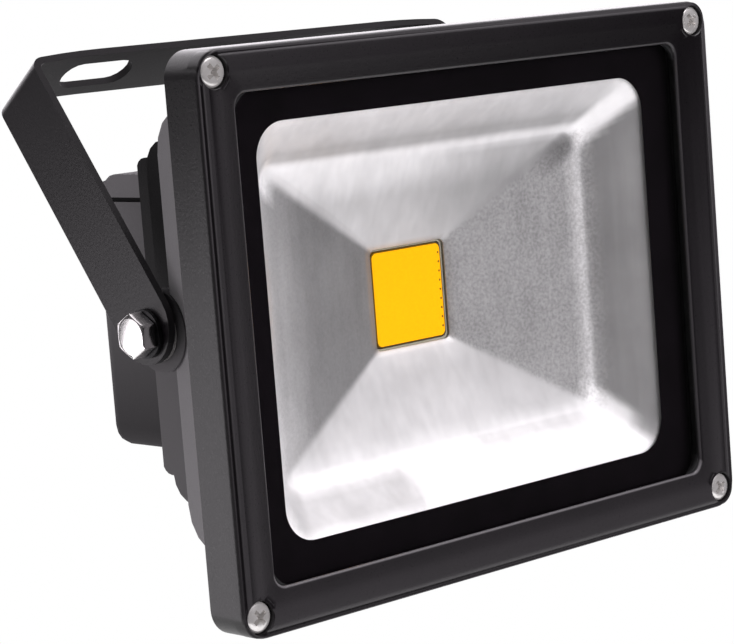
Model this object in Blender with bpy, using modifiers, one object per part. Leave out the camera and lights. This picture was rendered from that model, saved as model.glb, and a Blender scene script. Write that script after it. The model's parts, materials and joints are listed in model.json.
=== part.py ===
"""Outdoor LED floodlight: a cast lamp head that tilts in a bent steel yoke.

Sizes are in millimetres; the builders below turn them into metres.
Head pieces are drawn by x, depth and z, where depth is measured back from the
bezel's front plane. The yoke is drawn with its plate's outer face at z = 0.
"""

import math

import bmesh
import bpy
from mathutils import Matrix, Vector

MM = 0.001
GAP = 0.3                        # running and seating gap between neighbouring pieces
TINY = 1e-7

# Yoke (bent steel strap)
YOKE_REACH = 80.0                # pivot axis to the plate's outer face
STRAP_THICKNESS = 2.0
LEG_WIDTH = 20.2
LEG_END = 7.7                    # pivot axis to the leg's rounded end
PLATE_WIDTH = 17.0
BEND_RADIUS = 4.0                # outer face of the bend
BOW_ANGLE = math.radians(5)      # the plate droops this much next to each bend
BOW_LENGTH = 20.0
STEP_RADIUS = 3.0                # rear edge, where the strap narrows to the plate
STEP_SETBACK = 1.0               # from the step to the start of the bend
SLOT_LENGTH = 23.0
SLOT_WIDTH = 10.0
SLOT_INSET = 25.5                # slot's centre from the leg's outer face
YOKE_CLEARANCE = 1.5             # leg's outer face beyond the body's widest part
YOKE_LEAN = math.radians(36.6)   # at rest the yoke leans back behind the head

# Head: bezel, glass and seal
BEZEL_WIDTH = 180.0
BEZEL_HEIGHT = 140.0
BEZEL_DEPTH = 12.2
BEZEL_CORNER = 7.0
BEZEL_SKIRT = 1.6                # wall that wraps round the housing's flange
BEZEL_EDGE = 0.6                 # rounding of the front outer edge
POCKET_CORNER = 4.5              # corner of the pocket that takes the flange
LIP_THICKNESS = 2.0
FRAME_SIDE = 12.0                # face of the frame left and right of the opening
FRAME_TOP = 11.0                 # face of the frame above and below the opening
OPENING_CORNER = 5.0
GLASS_LAP = 3.0                  # glass behind the frame
GLASS_CORNER = 10.0
GLASS_THICKNESS = 3.2
SEAL_LEG = 0.8                   # thickness of the seal in front of and behind the glass
SEAL_WEB = 1.4                   # thickness of the seal round the glass's edge
SEAL_GAP = 0.25
SCREW_INSET = 5.4                # corner screw axis from both outer edges
M4_RADIUS = 2.0
M4_HEAD_RADIUS = 3.9
M4_HEAD_HEIGHT = 2.5
M4_LENGTH = 10.7
HEAD_POCKET_RADIUS = 4.2
HEAD_SINK = 0.4                  # screw head's top below the bezel's front

# Head: reflector and LED
RIM_SIDE = 6.0                   # glass edge to rim edge, left and right
RIM_TOP = 4.6                    # glass edge to rim edge, above and below
RIM_FLAT = 5.0                   # flat rim round the mouth
RIM_CORNER = 13.0
MOUTH_CORNER = 10.0
WALL_SIDE = 13.0                 # how far the steep walls lean in, left and right
WALL_TOP = 13.6                  # and above and below
CREASE_CORNER = 4.0
CREASE_DEPTH = 20.0
WINDOW_SIZE = 26.8
WINDOW_CORNER = 1.6
WINDOW_DEPTH = 30.0
SHEET_THICKNESS = 0.7
EMITTER_SIZE = 25.0
EMITTER_DEPTH = 30.6             # front face of the phosphor
EMITTER_THICKNESS = 0.9
DAM_WIDTH = 2.8
DAM_THICKNESS = 0.5
BASE_SIZE = 46.0
BASE_THICKNESS = 1.5
PAD_THICKNESS = 0.4
BASE_CORNER = 1.5
LED_SCREW_INSET = 3.5            # screw axis from the base plate's edges
LED_SCREW_LENGTH = 5.4
LED_HOLE_DEPTH = 3.2
M3_RADIUS = 1.5
M3_HEAD_RADIUS = 2.75
M3_HEAD_HEIGHT = 2.0
TAB_OFFSET = 6.0
TAB_WIDTH = 5.0
TAB_LENGTH = 3.2
TAB_DROP = 18.1                  # lamp's axis to the tab's near end
TAB_THICKNESS = 0.3

# Head: cast housing
FLANGE_THICKNESS = 3.4
SHOULDER_SIDE = 8.0              # glass edge to the body's outside behind the flange
SHOULDER_TOP = 5.0
TIER_A_TAPER = 3.0               # how far the first tier's sides lean in
TIER_A_DROP = 1.8                # first tier's top below the shoulder
TIER_A_DEPTH = 42.5
TIER_A_ROUND = 11.2
TIER_B_DEPTH = 60.85
TIER_B_SHARE = 0.38              # second tier's place between the third and the first
TIER_B_ROUND = 7.35
TIER_C_SIDE = 2.5                # third tier beyond the cover
TIER_C_TOP = 5.2
TIER_C_DEPTH = 73.4
TIER_C_ROUND = 3.6
FLOOR_THICKNESS = 4.0
CHAMBER_WALL = 4.6
CHAMBER_CORNER = 8.0
FIN_THICKNESS = 2.4
FIN_COUNT = 11                   # fins across the third tier
PIVOT_DEPTH = 47.0
PIVOT_BOSS_RADIUS = 10.5
PIVOT_HOLE_DEPTH = 18.0
LEAD_HOLE_RADIUS = 3.5
LEAD_HOLE_DROP = 27.5
CORNER_BOSS_RADIUS = 3.0
CORNER_BOSS_DEPTH = 2.2

# Head: driver compartment and its deep rear cover
COVER_WIDTH = 101.0
COVER_HEIGHT = 73.0
COVER_BACK = 99.0
COVER_CORNER = 5.5
COVER_REAR_ROUND = 6.0
COVER_FRONT_ROUND = 1.2
COVER_WALL = 2.7
NECK_INSET = 1.5                 # compartment wall inside the cover's outline
NECK_WALL = 3.0
GASKET_THICKNESS = 1.0
POST_RADIUS = 4.0
POST_INSET = 7.0
COVER_SCREW_RADIUS = 1.6
COVER_SCREW_LENGTH = 36.0
COVER_HOLE_DEPTH = 15.0
COVER_SCREW_HEAD_RADIUS = 3.0
COVER_SCREW_HEAD_HEIGHT = 2.1

# Pivot fasteners, M6
BOLT_RADIUS = 3.0
BOLT_HEX = 10.0                  # across flats
BOLT_HEAD_HEIGHT = 4.0
BOLT_LENGTH = 20.0
WASHER_RADIUS = 6.2
WASHER_THICKNESS = 1.0
LOCK_WASHER_RADIUS = 7.6
LOCK_WASHER_THICKNESS = 0.9

# Driver board and its components
BOARD_SIDE = 8.5                 # cover's outside to the board's edge
BOARD_TOP = 12.5
BOARD_THICKNESS = 1.6
SPACER_LENGTH = 5.2
SPACER_RADIUS = 3.0
SPACER_INSET = 5.0
TRANSFORMER_SIZE = (24.0, 19.0, 22.0)
CAPACITOR_RADIUS = 5.0
CAPACITOR_LENGTH = 20.0
CAPACITOR_INSET = 13.0           # board's side edge to the capacitors
CAPACITOR_RISE = 9.0             # board's middle line to each capacitor
CHOKE_RADIUS = 7.0
CHOKE_WIRE_RADIUS = 2.6
CHOKE_INSET = 14.0
CHOKE_RISE = 9.0
TERMINAL_SIZE = (20.0, 10.0, 9.0)
TERMINAL_INSET = 8.0             # board's side edge to the terminal block
TERMINAL_LIFT = 3.0              # board's lower edge to the terminal block
RECTIFIER_SIZE = (4.0, 10.5, 15.0)
RECTIFIER_GAP = 1.5              # transformer to rectifier
LEAD_RADIUS = 0.8
LEAD_SPREAD = 1.7                # each lead from the middle, where they pass the floor
LEAD_CLEARANCE = 3.5             # board's lower edge to the leads

# Cable gland under the rear cover
GLAND_THREAD_RADIUS = 6.0
GLAND_BORE_RADIUS = 3.5
GLAND_HEX = 15.0
GLAND_FLANGE = 4.0
GLAND_NOSE = 5.0
GLAND_CAP_LENGTH = 11.0
LOCKNUT_HEX = 17.0
LOCKNUT_THICKNESS = 2.8
SEAL_BUSH_RADIUS = 5.0
SEAL_BUSH_LENGTH = 7.5
GLAND_THREAD_SPARE = 1.5         # thread left beyond the locknut
CAP_SHOULDER = 1.2               # thickness of the cap's end

# Sizes across the head that follow from the sizes above
OPENING_WIDTH = BEZEL_WIDTH - 2 * FRAME_SIDE
OPENING_HEIGHT = BEZEL_HEIGHT - 2 * FRAME_TOP
GLASS_WIDTH = OPENING_WIDTH + 2 * GLASS_LAP
GLASS_HEIGHT = OPENING_HEIGHT + 2 * GLASS_LAP
RIM_WIDTH = GLASS_WIDTH - 2 * RIM_SIDE
RIM_HEIGHT = GLASS_HEIGHT - 2 * RIM_TOP
MOUTH_WIDTH = RIM_WIDTH - 2 * RIM_FLAT
MOUTH_HEIGHT = RIM_HEIGHT - 2 * RIM_FLAT
CREASE_WIDTH = MOUTH_WIDTH - 2 * WALL_SIDE
CREASE_HEIGHT = MOUTH_HEIGHT - 2 * WALL_TOP
SHOULDER_WIDTH = GLASS_WIDTH - 2 * SHOULDER_SIDE
SHOULDER_HEIGHT = GLASS_HEIGHT - 2 * SHOULDER_TOP
TIER_A_WIDTH = SHOULDER_WIDTH - 2 * TIER_A_TAPER
TIER_A_HEIGHT = SHOULDER_HEIGHT - 2 * TIER_A_DROP
TIER_C_WIDTH = COVER_WIDTH + 2 * TIER_C_SIDE
TIER_C_HEIGHT = COVER_HEIGHT + 2 * TIER_C_TOP
TIER_B_WIDTH = TIER_C_WIDTH + (TIER_A_WIDTH - TIER_C_WIDTH) * TIER_B_SHARE
TIER_B_HEIGHT = TIER_C_HEIGHT + (TIER_A_HEIGHT - TIER_C_HEIGHT) * TIER_B_SHARE
BOARD_WIDTH = COVER_WIDTH - 2 * BOARD_SIDE
BOARD_HEIGHT = COVER_HEIGHT - 2 * BOARD_TOP
YOKE_WIDTH = SHOULDER_WIDTH + 2 * YOKE_CLEARANCE    # outside of leg to outside of leg
SLOT_SPACING = YOKE_WIDTH - 2 * SLOT_INSET
LED_SCREW_SPACING = BASE_SIZE - 2 * LED_SCREW_INSET

# Depths that follow from the sizes above
SEAL_FRONT = LIP_THICKNESS + SEAL_GAP
GLASS_FRONT = SEAL_FRONT + SEAL_LEG + SEAL_GAP
GLASS_BACK = GLASS_FRONT + GLASS_THICKNESS
SEAL_BACK = GLASS_BACK + SEAL_GAP + SEAL_LEG
RIM_DEPTH = GLASS_BACK + 0.4
HOUSING_FRONT = SEAL_BACK + 0.45
FLANGE_BACK = BEZEL_DEPTH - 0.2
FLANGE_FRONT = FLANGE_BACK - FLANGE_THICKNESS
EMITTER_BACK = EMITTER_DEPTH + EMITTER_THICKNESS
BASE_FRONT = EMITTER_BACK + GAP
PAD_FRONT = BASE_FRONT + BASE_THICKNESS + 0.25
FLOOR_FRONT = PAD_FRONT + PAD_THICKNESS + GAP
FLOOR_BACK = FLOOR_FRONT + FLOOR_THICKNESS
NECK_BACK = TIER_C_DEPTH - 0.4
GASKET_FRONT = NECK_BACK + 0.25
COVER_FRONT = GASKET_FRONT + GASKET_THICKNESS + 0.25
GLAND_DEPTH = (COVER_FRONT + COVER_BACK) / 2
BOARD_FRONT = FLOOR_BACK + GAP + SPACER_LENGTH + GAP
BOARD_BACK = BOARD_FRONT + BOARD_THICKNESS

# Places that follow from the sizes above
LEG_INNER = YOKE_WIDTH / 2 - STRAP_THICKNESS
BOSS_FACE = LEG_INNER - GAP - LOCK_WASHER_THICKNESS - GAP
SCREW_X = BEZEL_WIDTH / 2 - SCREW_INSET
SCREW_Z = BEZEL_HEIGHT / 2 - SCREW_INSET
POST_X = COVER_WIDTH / 2 - POST_INSET
POST_Z = COVER_HEIGHT / 2 - POST_INSET
PLATE_SHIFT = (LEG_WIDTH - PLATE_WIDTH) / 2
SIDES = (("left", -1), ("right", 1))
CORNERS = ((-1, 1), (1, 1), (1, -1), (-1, -1))


def clear_scene():
    for obj in list(bpy.data.objects):
        bpy.data.objects.remove(obj)


def make_collection(name):
    collection = bpy.data.collections.new(name)
    bpy.context.scene.collection.children.link(collection)
    return collection


def material(name, colour, roughness, metallic=0.0):
    mat = bpy.data.materials.new(name)
    mat.use_nodes = True
    shader = mat.node_tree.nodes["Principled BSDF"]
    shader.inputs["Base Color"].default_value = (*colour, 1.0)
    shader.inputs["Roughness"].default_value = roughness
    shader.inputs["Metallic"].default_value = metallic
    return mat


def add_object(name, mesh, collection):
    obj = bpy.data.objects.new(name, mesh)
    collection.objects.link(obj)
    return obj


def object_from(name, bm, collection):
    """Turn a bmesh in millimetres into an object in metres with outward faces."""
    bmesh.ops.recalc_face_normals(bm, faces=bm.faces)
    bmesh.ops.scale(bm, vec=(MM, MM, MM), verts=bm.verts)
    mesh = bpy.data.meshes.new(name)
    bm.to_mesh(mesh)
    bm.free()
    return add_object(name, mesh, collection)


def piece(name, bm):
    return object_from(name, bm, PARTS)


def cutter(name, bm):
    obj = object_from(name, bm, CUTTERS)
    obj.hide_render = True
    obj.display_type = "WIRE"
    return obj


def merge(target, source):
    """Copy one bmesh's bodies into another, as separate bodies."""
    mesh = bpy.data.meshes.new("merge")
    source.to_mesh(mesh)
    source.free()
    target.from_mesh(mesh)
    bpy.data.meshes.remove(mesh)
    return target


def block(x, depth, z, radius=0.0, along="Y", steps=4):
    """A box between pairs of limits, with the four edges along one axis rounded."""
    bm = bmesh.new()
    bmesh.ops.create_cube(bm, size=1.0)
    limits = (x, depth, z)
    for vert in bm.verts:
        for axis in range(3):
            low, high = limits[axis]
            vert.co[axis] = high if vert.co[axis] > 0 else low
    round_edges(bm, radius, along, steps)
    return bm


def round_edges(bm, radius, along, steps):
    if radius <= 0:
        return
    axis = "XYZ".index(along)
    others = [i for i in range(3) if i != axis]
    chosen = []
    for edge in bm.edges:
        span = edge.verts[0].co - edge.verts[1].co
        if abs(span[axis]) > max(abs(span[i]) for i in others):
            chosen.append(edge)
    bmesh.ops.bevel(bm, geom=chosen, offset=radius, segments=steps, profile=0.5, affect="EDGES")


def centred(half_x, half_z, depth, radius=0.0, steps=4):
    """A rounded block centred on the lamp's axis."""
    return block((-half_x, half_x), depth, (-half_z, half_z), radius, "Y", steps)


def taper(front, back, depth, radius, steps=4):
    """A block whose front and back half sizes differ, with rounded long edges."""
    bm = bmesh.new()
    bmesh.ops.create_cube(bm, size=2.0)
    for vert in bm.verts:
        half = front if vert.co.y < 0 else back
        vert.co = Vector((vert.co.x * half[0], depth[0] if vert.co.y < 0 else depth[1], vert.co.z * half[1]))
    round_edges(bm, radius, "Y", steps)
    return bm


def turn_to(axis):
    """Rotation that takes +Z to the named axis."""
    turns = {
        "+X": Matrix.Rotation(math.pi / 2, 4, "Y"),
        "-X": Matrix.Rotation(-math.pi / 2, 4, "Y"),
        "+Y": Matrix.Rotation(-math.pi / 2, 4, "X"),
        "-Y": Matrix.Rotation(math.pi / 2, 4, "X"),
        "+Z": Matrix.Identity(4),
        "-Z": Matrix.Rotation(math.pi, 4, "X"),
    }
    return turns[axis]


def rod(start, length, radius, axis, sides=24, turn=0.0):
    """A cylinder from a start point along an axis."""
    bm = bmesh.new()
    bmesh.ops.create_cone(
        bm, cap_ends=True, segments=sides, radius1=radius, radius2=radius, depth=length,
        matrix=Matrix.Translation((0, 0, length / 2)) @ Matrix.Rotation(turn, 4, "Z"),
    )
    bmesh.ops.transform(bm, matrix=Matrix.Translation(start) @ turn_to(axis), verts=bm.verts)
    return bm


def hexagon(start, length, across_flats, axis):
    return rod(start, length, across_flats / math.sqrt(3), axis, 6, turn=math.pi / 6)


def turned(profile, start, axis, steps=24, closed=False):
    """Spin a (radius, height) profile about an axis; open profiles start and end on it."""
    bm = bmesh.new()
    verts = [bm.verts.new((radius, 0, height)) for radius, height in profile]
    pairs = list(zip(verts, verts[1:]))
    if closed:
        pairs.append((verts[-1], verts[0]))
    edges = [bm.edges.new(pair) for pair in pairs]
    bmesh.ops.spin(
        bm, geom=verts + edges, cent=(0, 0, 0), axis=(0, 0, 1), angle=2 * math.pi,
        steps=steps, use_merge=True, use_duplicate=False,
    )
    bmesh.ops.remove_doubles(bm, verts=bm.verts, dist=0.0005)
    bmesh.ops.transform(bm, matrix=Matrix.Translation(start) @ turn_to(axis), verts=bm.verts)
    return bm


def ring(start, length, outer, inner, axis, steps=24):
    profile = ((inner, 0), (outer, 0), (outer, length), (inner, length))
    return turned(profile, start, axis, steps, closed=True)


def arc(centre, radius, first, last, steps):
    """Points of an arc, with its angles in degrees."""
    points = []
    for i in range(steps + 1):
        angle = math.radians(first + (last - first) * i / steps)
        points.append((centre[0] + radius * math.cos(angle), centre[1] + radius * math.sin(angle)))
    return points


def flat_outline(name, outlines, thickness):
    """Mesh of a filled 2D curve, in millimetres: the first outline holds the others as holes."""
    curve = bpy.data.curves.new(name, "CURVE")
    curve.dimensions = "2D"
    curve.fill_mode = "BOTH"
    curve.extrude = thickness / 2
    for points in outlines:
        spline = curve.splines.new("POLY")
        spline.points.add(len(points) - 1)
        for target, (a, b) in zip(spline.points, points):
            target.co = (a, b, 0, 1)
        spline.use_cyclic_u = True
    obj = add_object(name, curve, CUTTERS)
    graph = bpy.context.evaluated_depsgraph_get()
    mesh = bpy.data.meshes.new_from_object(obj.evaluated_get(graph))
    bm = bmesh.new()
    bm.from_mesh(mesh)
    bmesh.ops.remove_doubles(bm, verts=bm.verts, dist=0.0005)
    bpy.data.objects.remove(obj)
    bpy.data.curves.remove(curve)
    bpy.data.meshes.remove(mesh)
    return bm


def combine(obj, other, operation):
    modifier = obj.modifiers.new(operation.title(), "BOOLEAN")
    modifier.operation = operation
    modifier.solver = "EXACT"
    modifier.object = other


def cut(obj, name, bm):
    combine(obj, cutter(name, bm), "DIFFERENCE")


def join(obj, name, bm):
    combine(obj, cutter(name, bm), "UNION")


def finish(obj, mat, parent, depth_origin=True):
    """Give a piece its material and hang it on its empty."""
    obj.data.materials.clear()
    obj.data.materials.append(mat)
    members = [obj] + [m.object for m in obj.modifiers if m.type == "BOOLEAN"]
    for member in members:
        member.parent = parent
        if depth_origin:
            member.location = (0, -PIVOT_DEPTH * MM, 0)
    return obj


def empty(name, location, rotation=(0, 0, 0)):
    obj = add_object(name, None, PARTS)
    obj.location = location
    obj.rotation_euler = rotation
    return obj


def yoke_path(length):
    """Place on the strap's outer face, and its outward normal, at a length from the middle."""
    side = -1 if length < 0 else 1
    run = abs(length)
    bend = math.pi / 2 - BOW_ANGLE
    bow_radius = BOW_LENGTH / BOW_ANGLE
    flat = YOKE_WIDTH / 2 - BEND_RADIUS * (1 - math.sin(BOW_ANGLE)) - bow_radius * math.sin(BOW_ANGLE)
    if run <= flat:
        return Vector((side * run, 0)), Vector((0, 1))
    angle = min((run - flat) / bow_radius, BOW_ANGLE)
    place = Vector((flat + bow_radius * math.sin(angle), -bow_radius * (1 - math.cos(angle))))
    run -= flat + BOW_LENGTH
    if run > 0:
        turn = min(run / BEND_RADIUS, bend)
        centre = place - BEND_RADIUS * Vector((math.sin(BOW_ANGLE), math.cos(BOW_ANGLE)))
        angle = BOW_ANGLE + turn
        place = centre + BEND_RADIUS * Vector((math.sin(angle), math.cos(angle)))
        run -= BEND_RADIUS * bend
    if run > 0:
        place.y -= run
    return Vector((side * place.x, place.y)), Vector((side * math.sin(angle), math.cos(angle)))


def yoke_lengths():
    """Lengths along the strap from its middle: flat end, bow end, bend end and pivot."""
    bend = BEND_RADIUS * (math.pi / 2 - BOW_ANGLE)
    bow_radius = BOW_LENGTH / BOW_ANGLE
    flat = YOKE_WIDTH / 2 - BEND_RADIUS * (1 - math.sin(BOW_ANGLE)) - bow_radius * math.sin(BOW_ANGLE)
    drop = bow_radius * (1 - math.cos(BOW_ANGLE)) + BEND_RADIUS * math.cos(BOW_ANGLE)
    pivot = flat + BOW_LENGTH + bend + YOKE_REACH - drop
    return flat, flat + BOW_LENGTH, flat + BOW_LENGTH + bend, pivot


def yoke_blank():
    """Outline of the flat strap with its slots and pivot holes; b is the rear side."""
    pivot = yoke_lengths()[3]
    narrow = yoke_lengths()[1] - STEP_SETBACK
    front = -PLATE_WIDTH / 2
    rear = PLATE_WIDTH / 2
    leg_rear = front + LEG_WIDTH
    half = LEG_WIDTH / 2
    step = min(STEP_RADIUS, leg_rear - rear - 0.1)
    right = arc((pivot + LEG_END - half, PLATE_SHIFT), half, -90, 90, 12)
    right += arc((narrow + step, leg_rear - step), step, 90, 180, 3)
    right.append((narrow, rear))
    left = [(-a, b) for a, b in reversed(right)]
    outline = right + left
    slots = []
    for _, side in SIDES:
        straight = (SLOT_LENGTH - SLOT_WIDTH) / 2
        middle = side * SLOT_SPACING / 2
        slots.append(
            arc((middle + straight, 0), SLOT_WIDTH / 2, -90, 90, 8)
            + arc((middle - straight, 0), SLOT_WIDTH / 2, 90, 270, 8)
        )
        slots.append(arc((side * pivot, PLATE_SHIFT), BOLT_RADIUS + 0.4, 0, 345, 23))
    return [outline] + slots


def make_yoke(mats, frame):
    """The strap is drawn flat, given folds where it bends, and bent along its path."""
    bm = flat_outline("yoke_blank", yoke_blank(), STRAP_THICKNESS)
    flat, bow, bend, _ = yoke_lengths()
    folds = [flat + (bow - flat) * i / 3 for i in range(3)]
    folds += [bow + (bend - bow) * i / 6 for i in range(7)]
    for place in folds:
        for side in (-1, 1):
            geometry = bm.verts[:] + bm.edges[:] + bm.faces[:]
            bmesh.ops.bisect_plane(bm, geom=geometry, plane_co=(side * place, 0, 0), plane_no=(1, 0, 0))
    for vert in bm.verts:
        place, normal = yoke_path(vert.co.x)
        place = place + normal * (vert.co.z - STRAP_THICKNESS / 2)
        vert.co = Vector((place.x, vert.co.y, place.y))
    finish(piece("mounting_yoke", bm), mats["steel_black"], frame, False)


def make_flat_washers(mats, frame):
    for name, side in SIDES:
        start = (side * (YOKE_WIDTH / 2 + 0.25), PLATE_SHIFT, -YOKE_REACH)
        axis = "+X" if side > 0 else "-X"
        bm = ring(start, WASHER_THICKNESS, WASHER_RADIUS, BOLT_RADIUS + GAP, axis)
        finish(piece(f"flat_washer_{name}", bm), mats["steel_dark"], frame, False)


def make_pivot_bolts(mats, pivots):
    for name, side in SIDES:
        axis = "+X" if side > 0 else "-X"
        seat = side * (YOKE_WIDTH / 2 + 0.25 + WASHER_THICKNESS + 0.25)
        bolt = piece(f"pivot_bolt_{name}", hexagon((seat, 0, 0), BOLT_HEAD_HEIGHT, BOLT_HEX, axis))
        shank = seat - side * BOLT_LENGTH
        join(bolt, f"bolt_shank_{name}", rod((shank, 0, 0), BOLT_LENGTH + 1, BOLT_RADIUS, axis))
        finish(bolt, mats["zinc"], pivots[name], False)
        bm = ring((side * (BOSS_FACE + GAP), 0, 0), LOCK_WASHER_THICKNESS,
                  LOCK_WASHER_RADIUS, BOLT_RADIUS + GAP, axis)
        washer = finish(piece(f"lock_washer_{name}", bm), mats["zinc"], HEAD, False)
        washer.location = (0, 0, 0)


def make_bezel(mats):
    half_x = BEZEL_WIDTH / 2
    half_z = BEZEL_HEIGHT / 2
    bm = centred(half_x, half_z, (0, BEZEL_DEPTH), BEZEL_CORNER, 5)
    front = [edge for edge in bm.edges if all(abs(v.co.y) < TINY for v in edge.verts)]
    bmesh.ops.bevel(bm, geom=front, offset=BEZEL_EDGE, segments=2, profile=0.5, affect="EDGES")
    bezel = piece("front_bezel", bm)
    skirt = BEZEL_SKIRT
    cut(bezel, "flange_pocket", centred(half_x - skirt, half_z - skirt,
                                        (FLANGE_FRONT - GAP, BEZEL_DEPTH + 2), POCKET_CORNER))
    cavity = (GLASS_WIDTH / 2 + SEAL_WEB + 0.8, GLASS_HEIGHT / 2 + SEAL_WEB + 0.8)
    cut(bezel, "glass_pocket", centred(*cavity, (LIP_THICKNESS, BEZEL_DEPTH + 1), GLASS_CORNER + 1.5))
    cut(bezel, "front_opening", centred(OPENING_WIDTH / 2, OPENING_HEIGHT / 2,
                                        (-2, LIP_THICKNESS + 1), OPENING_CORNER))
    holes = bmesh.new()
    pockets = bmesh.new()
    for sx, sz in CORNERS:
        merge(holes, rod((sx * SCREW_X, -1, sz * SCREW_Z), BEZEL_DEPTH + 2, M4_RADIUS + GAP, "+Y", 16))
        merge(pockets, rod((sx * SCREW_X, -1, sz * SCREW_Z),
                           1 + HEAD_SINK + M4_HEAD_HEIGHT + GAP, HEAD_POCKET_RADIUS, "+Y", 24))
    cut(bezel, "bezel_screw_holes", holes)
    cut(bezel, "bezel_screw_pockets", pockets)
    finish(bezel, mats["cast_black"], HEAD)


def pan_screw(name, place, axis, head, shank):
    """A pan-head screw whose head's top is at place; head and shank are (radius, length)."""
    crown = head[1] * 0.35
    profile = (
        (0, 0), (head[0] * 0.72, 0), (head[0], crown), (head[0], head[1]),
        (shank[0], head[1]), (shank[0], head[1] + shank[1] - 0.6),
        (shank[0] - 0.5, head[1] + shank[1]), (0, head[1] + shank[1]),
    )
    return piece(name, turned(profile, place, axis, 14))


def make_bezel_screws(mats):
    for number, (sx, sz) in enumerate(CORNERS, 1):
        x = sx * SCREW_X
        z = sz * SCREW_Z
        screw = pan_screw(f"bezel_screw_{number}", (x, HEAD_SINK, z), "+Y",
                          (M4_HEAD_RADIUS, M4_HEAD_HEIGHT), (M4_RADIUS, M4_LENGTH))
        arms = ((2.1, 0.45), (0.45, 2.1))
        for arm, (wide, tall) in enumerate(arms, 1):
            cut(screw, f"recess_{number}_{arm}",
                block((x - wide, x + wide), (HEAD_SINK - 1, HEAD_SINK + 1.3), (z - tall, z + tall)))
        finish(screw, mats["zinc"], HEAD)


def make_glass_and_seal(mats):
    half = (GLASS_WIDTH / 2, GLASS_HEIGHT / 2)
    glass = piece("glass_pane", centred(*half, (GLASS_FRONT, GLASS_BACK), GLASS_CORNER, 5))
    finish(glass, mats["glass"], HEAD)
    web = SEAL_GAP + SEAL_WEB
    seal = piece("glass_seal", centred(half[0] + web, half[1] + web, (SEAL_FRONT, SEAL_BACK),
                                       GLASS_CORNER + web, 5))
    inner = (OPENING_WIDTH / 2 + 0.6, OPENING_HEIGHT / 2 + 0.6)
    cut(seal, "seal_opening", centred(*inner, (SEAL_FRONT - 1, SEAL_BACK + 1), GLASS_CORNER - 2.4, 5))
    groove = (GLASS_FRONT - SEAL_GAP, GLASS_BACK + SEAL_GAP)
    cut(seal, "seal_groove", centred(half[0] + SEAL_GAP, half[1] + SEAL_GAP, groove,
                                     GLASS_CORNER + SEAL_GAP, 5))
    finish(seal, mats["rubber"], HEAD)


def rounded_loop(half_x, half_z, radius, steps):
    points = []
    for number, (sx, sz) in enumerate(((1, 1), (-1, 1), (-1, -1), (1, -1))):
        centre = (sx * (half_x - radius), sz * (half_z - radius))
        points += arc(centre, radius, 90 * number, 90 * number + 90, steps)
    return points


def make_reflector(mats):
    """A pressed sheet: flat rim, steep wall, crease, and a shallow pyramid down to the window."""
    stations = (
        (RIM_WIDTH / 2, RIM_HEIGHT / 2, RIM_CORNER, RIM_DEPTH),
        (MOUTH_WIDTH / 2, MOUTH_HEIGHT / 2, MOUTH_CORNER, RIM_DEPTH),
        (CREASE_WIDTH / 2, CREASE_HEIGHT / 2, CREASE_CORNER, CREASE_DEPTH),
        (WINDOW_SIZE / 2, WINDOW_SIZE / 2, WINDOW_CORNER, WINDOW_DEPTH),
    )
    bm = bmesh.new()
    loops = []
    for half_x, half_z, radius, depth in stations:
        loops.append([bm.verts.new((x, depth, z)) for x, z in rounded_loop(half_x, half_z, radius, 4)])
    for outer, inner in zip(loops, loops[1:]):
        count = len(outer)
        for i in range(count):
            j = (i + 1) % count
            bm.faces.new((outer[i], outer[j], inner[j], inner[i]))
    reflector = piece("reflector", bm)
    shell = reflector.modifiers.new("Sheet", "SOLIDIFY")
    shell.thickness = SHEET_THICKNESS * MM
    shell.use_even_offset = True
    shell.offset = -1 if reflector.data.polygons[0].normal.y < 0 else 1
    finish(reflector, mats["satin_aluminium"], HEAD)


def make_led(mats):
    base = BASE_SIZE / 2
    half = EMITTER_SIZE / 2
    pad = piece("thermal_pad", centred(base, base, (PAD_FRONT, PAD_FRONT + PAD_THICKNESS)))
    plate = piece("led_base", centred(base, base, (BASE_FRONT, BASE_FRONT + BASE_THICKNESS), BASE_CORNER, 2))
    holes = bmesh.new()
    slots = bmesh.new()
    spacing = LED_SCREW_SPACING / 2
    for number, (sx, sz) in enumerate(CORNERS, 1):
        place = (sx * spacing, BASE_FRONT, sz * spacing)
        merge(holes, rod((place[0], BASE_FRONT - 1, place[2]), BASE_THICKNESS + 2,
                         M3_RADIUS + GAP, "+Y", 16))
        merge(slots, rod((place[0], PAD_FRONT - 1, place[2]), PAD_THICKNESS + 2,
                         M3_RADIUS + GAP, "+Y", 16))
        top = (place[0], BASE_FRONT - GAP - M3_HEAD_HEIGHT, place[2])
        screw = pan_screw(f"led_screw_{number}", top, "+Y", (M3_HEAD_RADIUS, M3_HEAD_HEIGHT),
                          (M3_RADIUS, LED_SCREW_LENGTH))
        finish(screw, mats["zinc"], HEAD)
    cut(plate, "led_base_holes", holes)
    finish(plate, mats["bare_aluminium"], HEAD)
    cut(pad, "thermal_pad_holes", slots)
    finish(pad, mats["pad_grey"], HEAD)
    dam_out = half + GAP + DAM_WIDTH
    dam = piece("led_dam", centred(dam_out, dam_out, (EMITTER_BACK - DAM_THICKNESS, EMITTER_BACK), 1.5, 2))
    cut(dam, "led_dam_opening", centred(half + GAP, half + GAP, (EMITTER_DEPTH - 1, EMITTER_BACK + 1), 1.2, 2))
    finish(dam, mats["white"], HEAD)
    finish(piece("led_emitter", centred(half, half, (EMITTER_DEPTH, EMITTER_BACK), 1.8, 3)),
           mats["phosphor"], HEAD)
    for name, side in (("positive", -1), ("negative", 1)):
        x = side * TAB_OFFSET
        tab = block((x - TAB_WIDTH / 2, x + TAB_WIDTH / 2), (EMITTER_BACK - TAB_THICKNESS, EMITTER_BACK),
                    (-TAB_DROP - TAB_LENGTH, -TAB_DROP))
        finish(piece(f"led_tab_{name}", tab), mats["copper"], HEAD)


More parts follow.
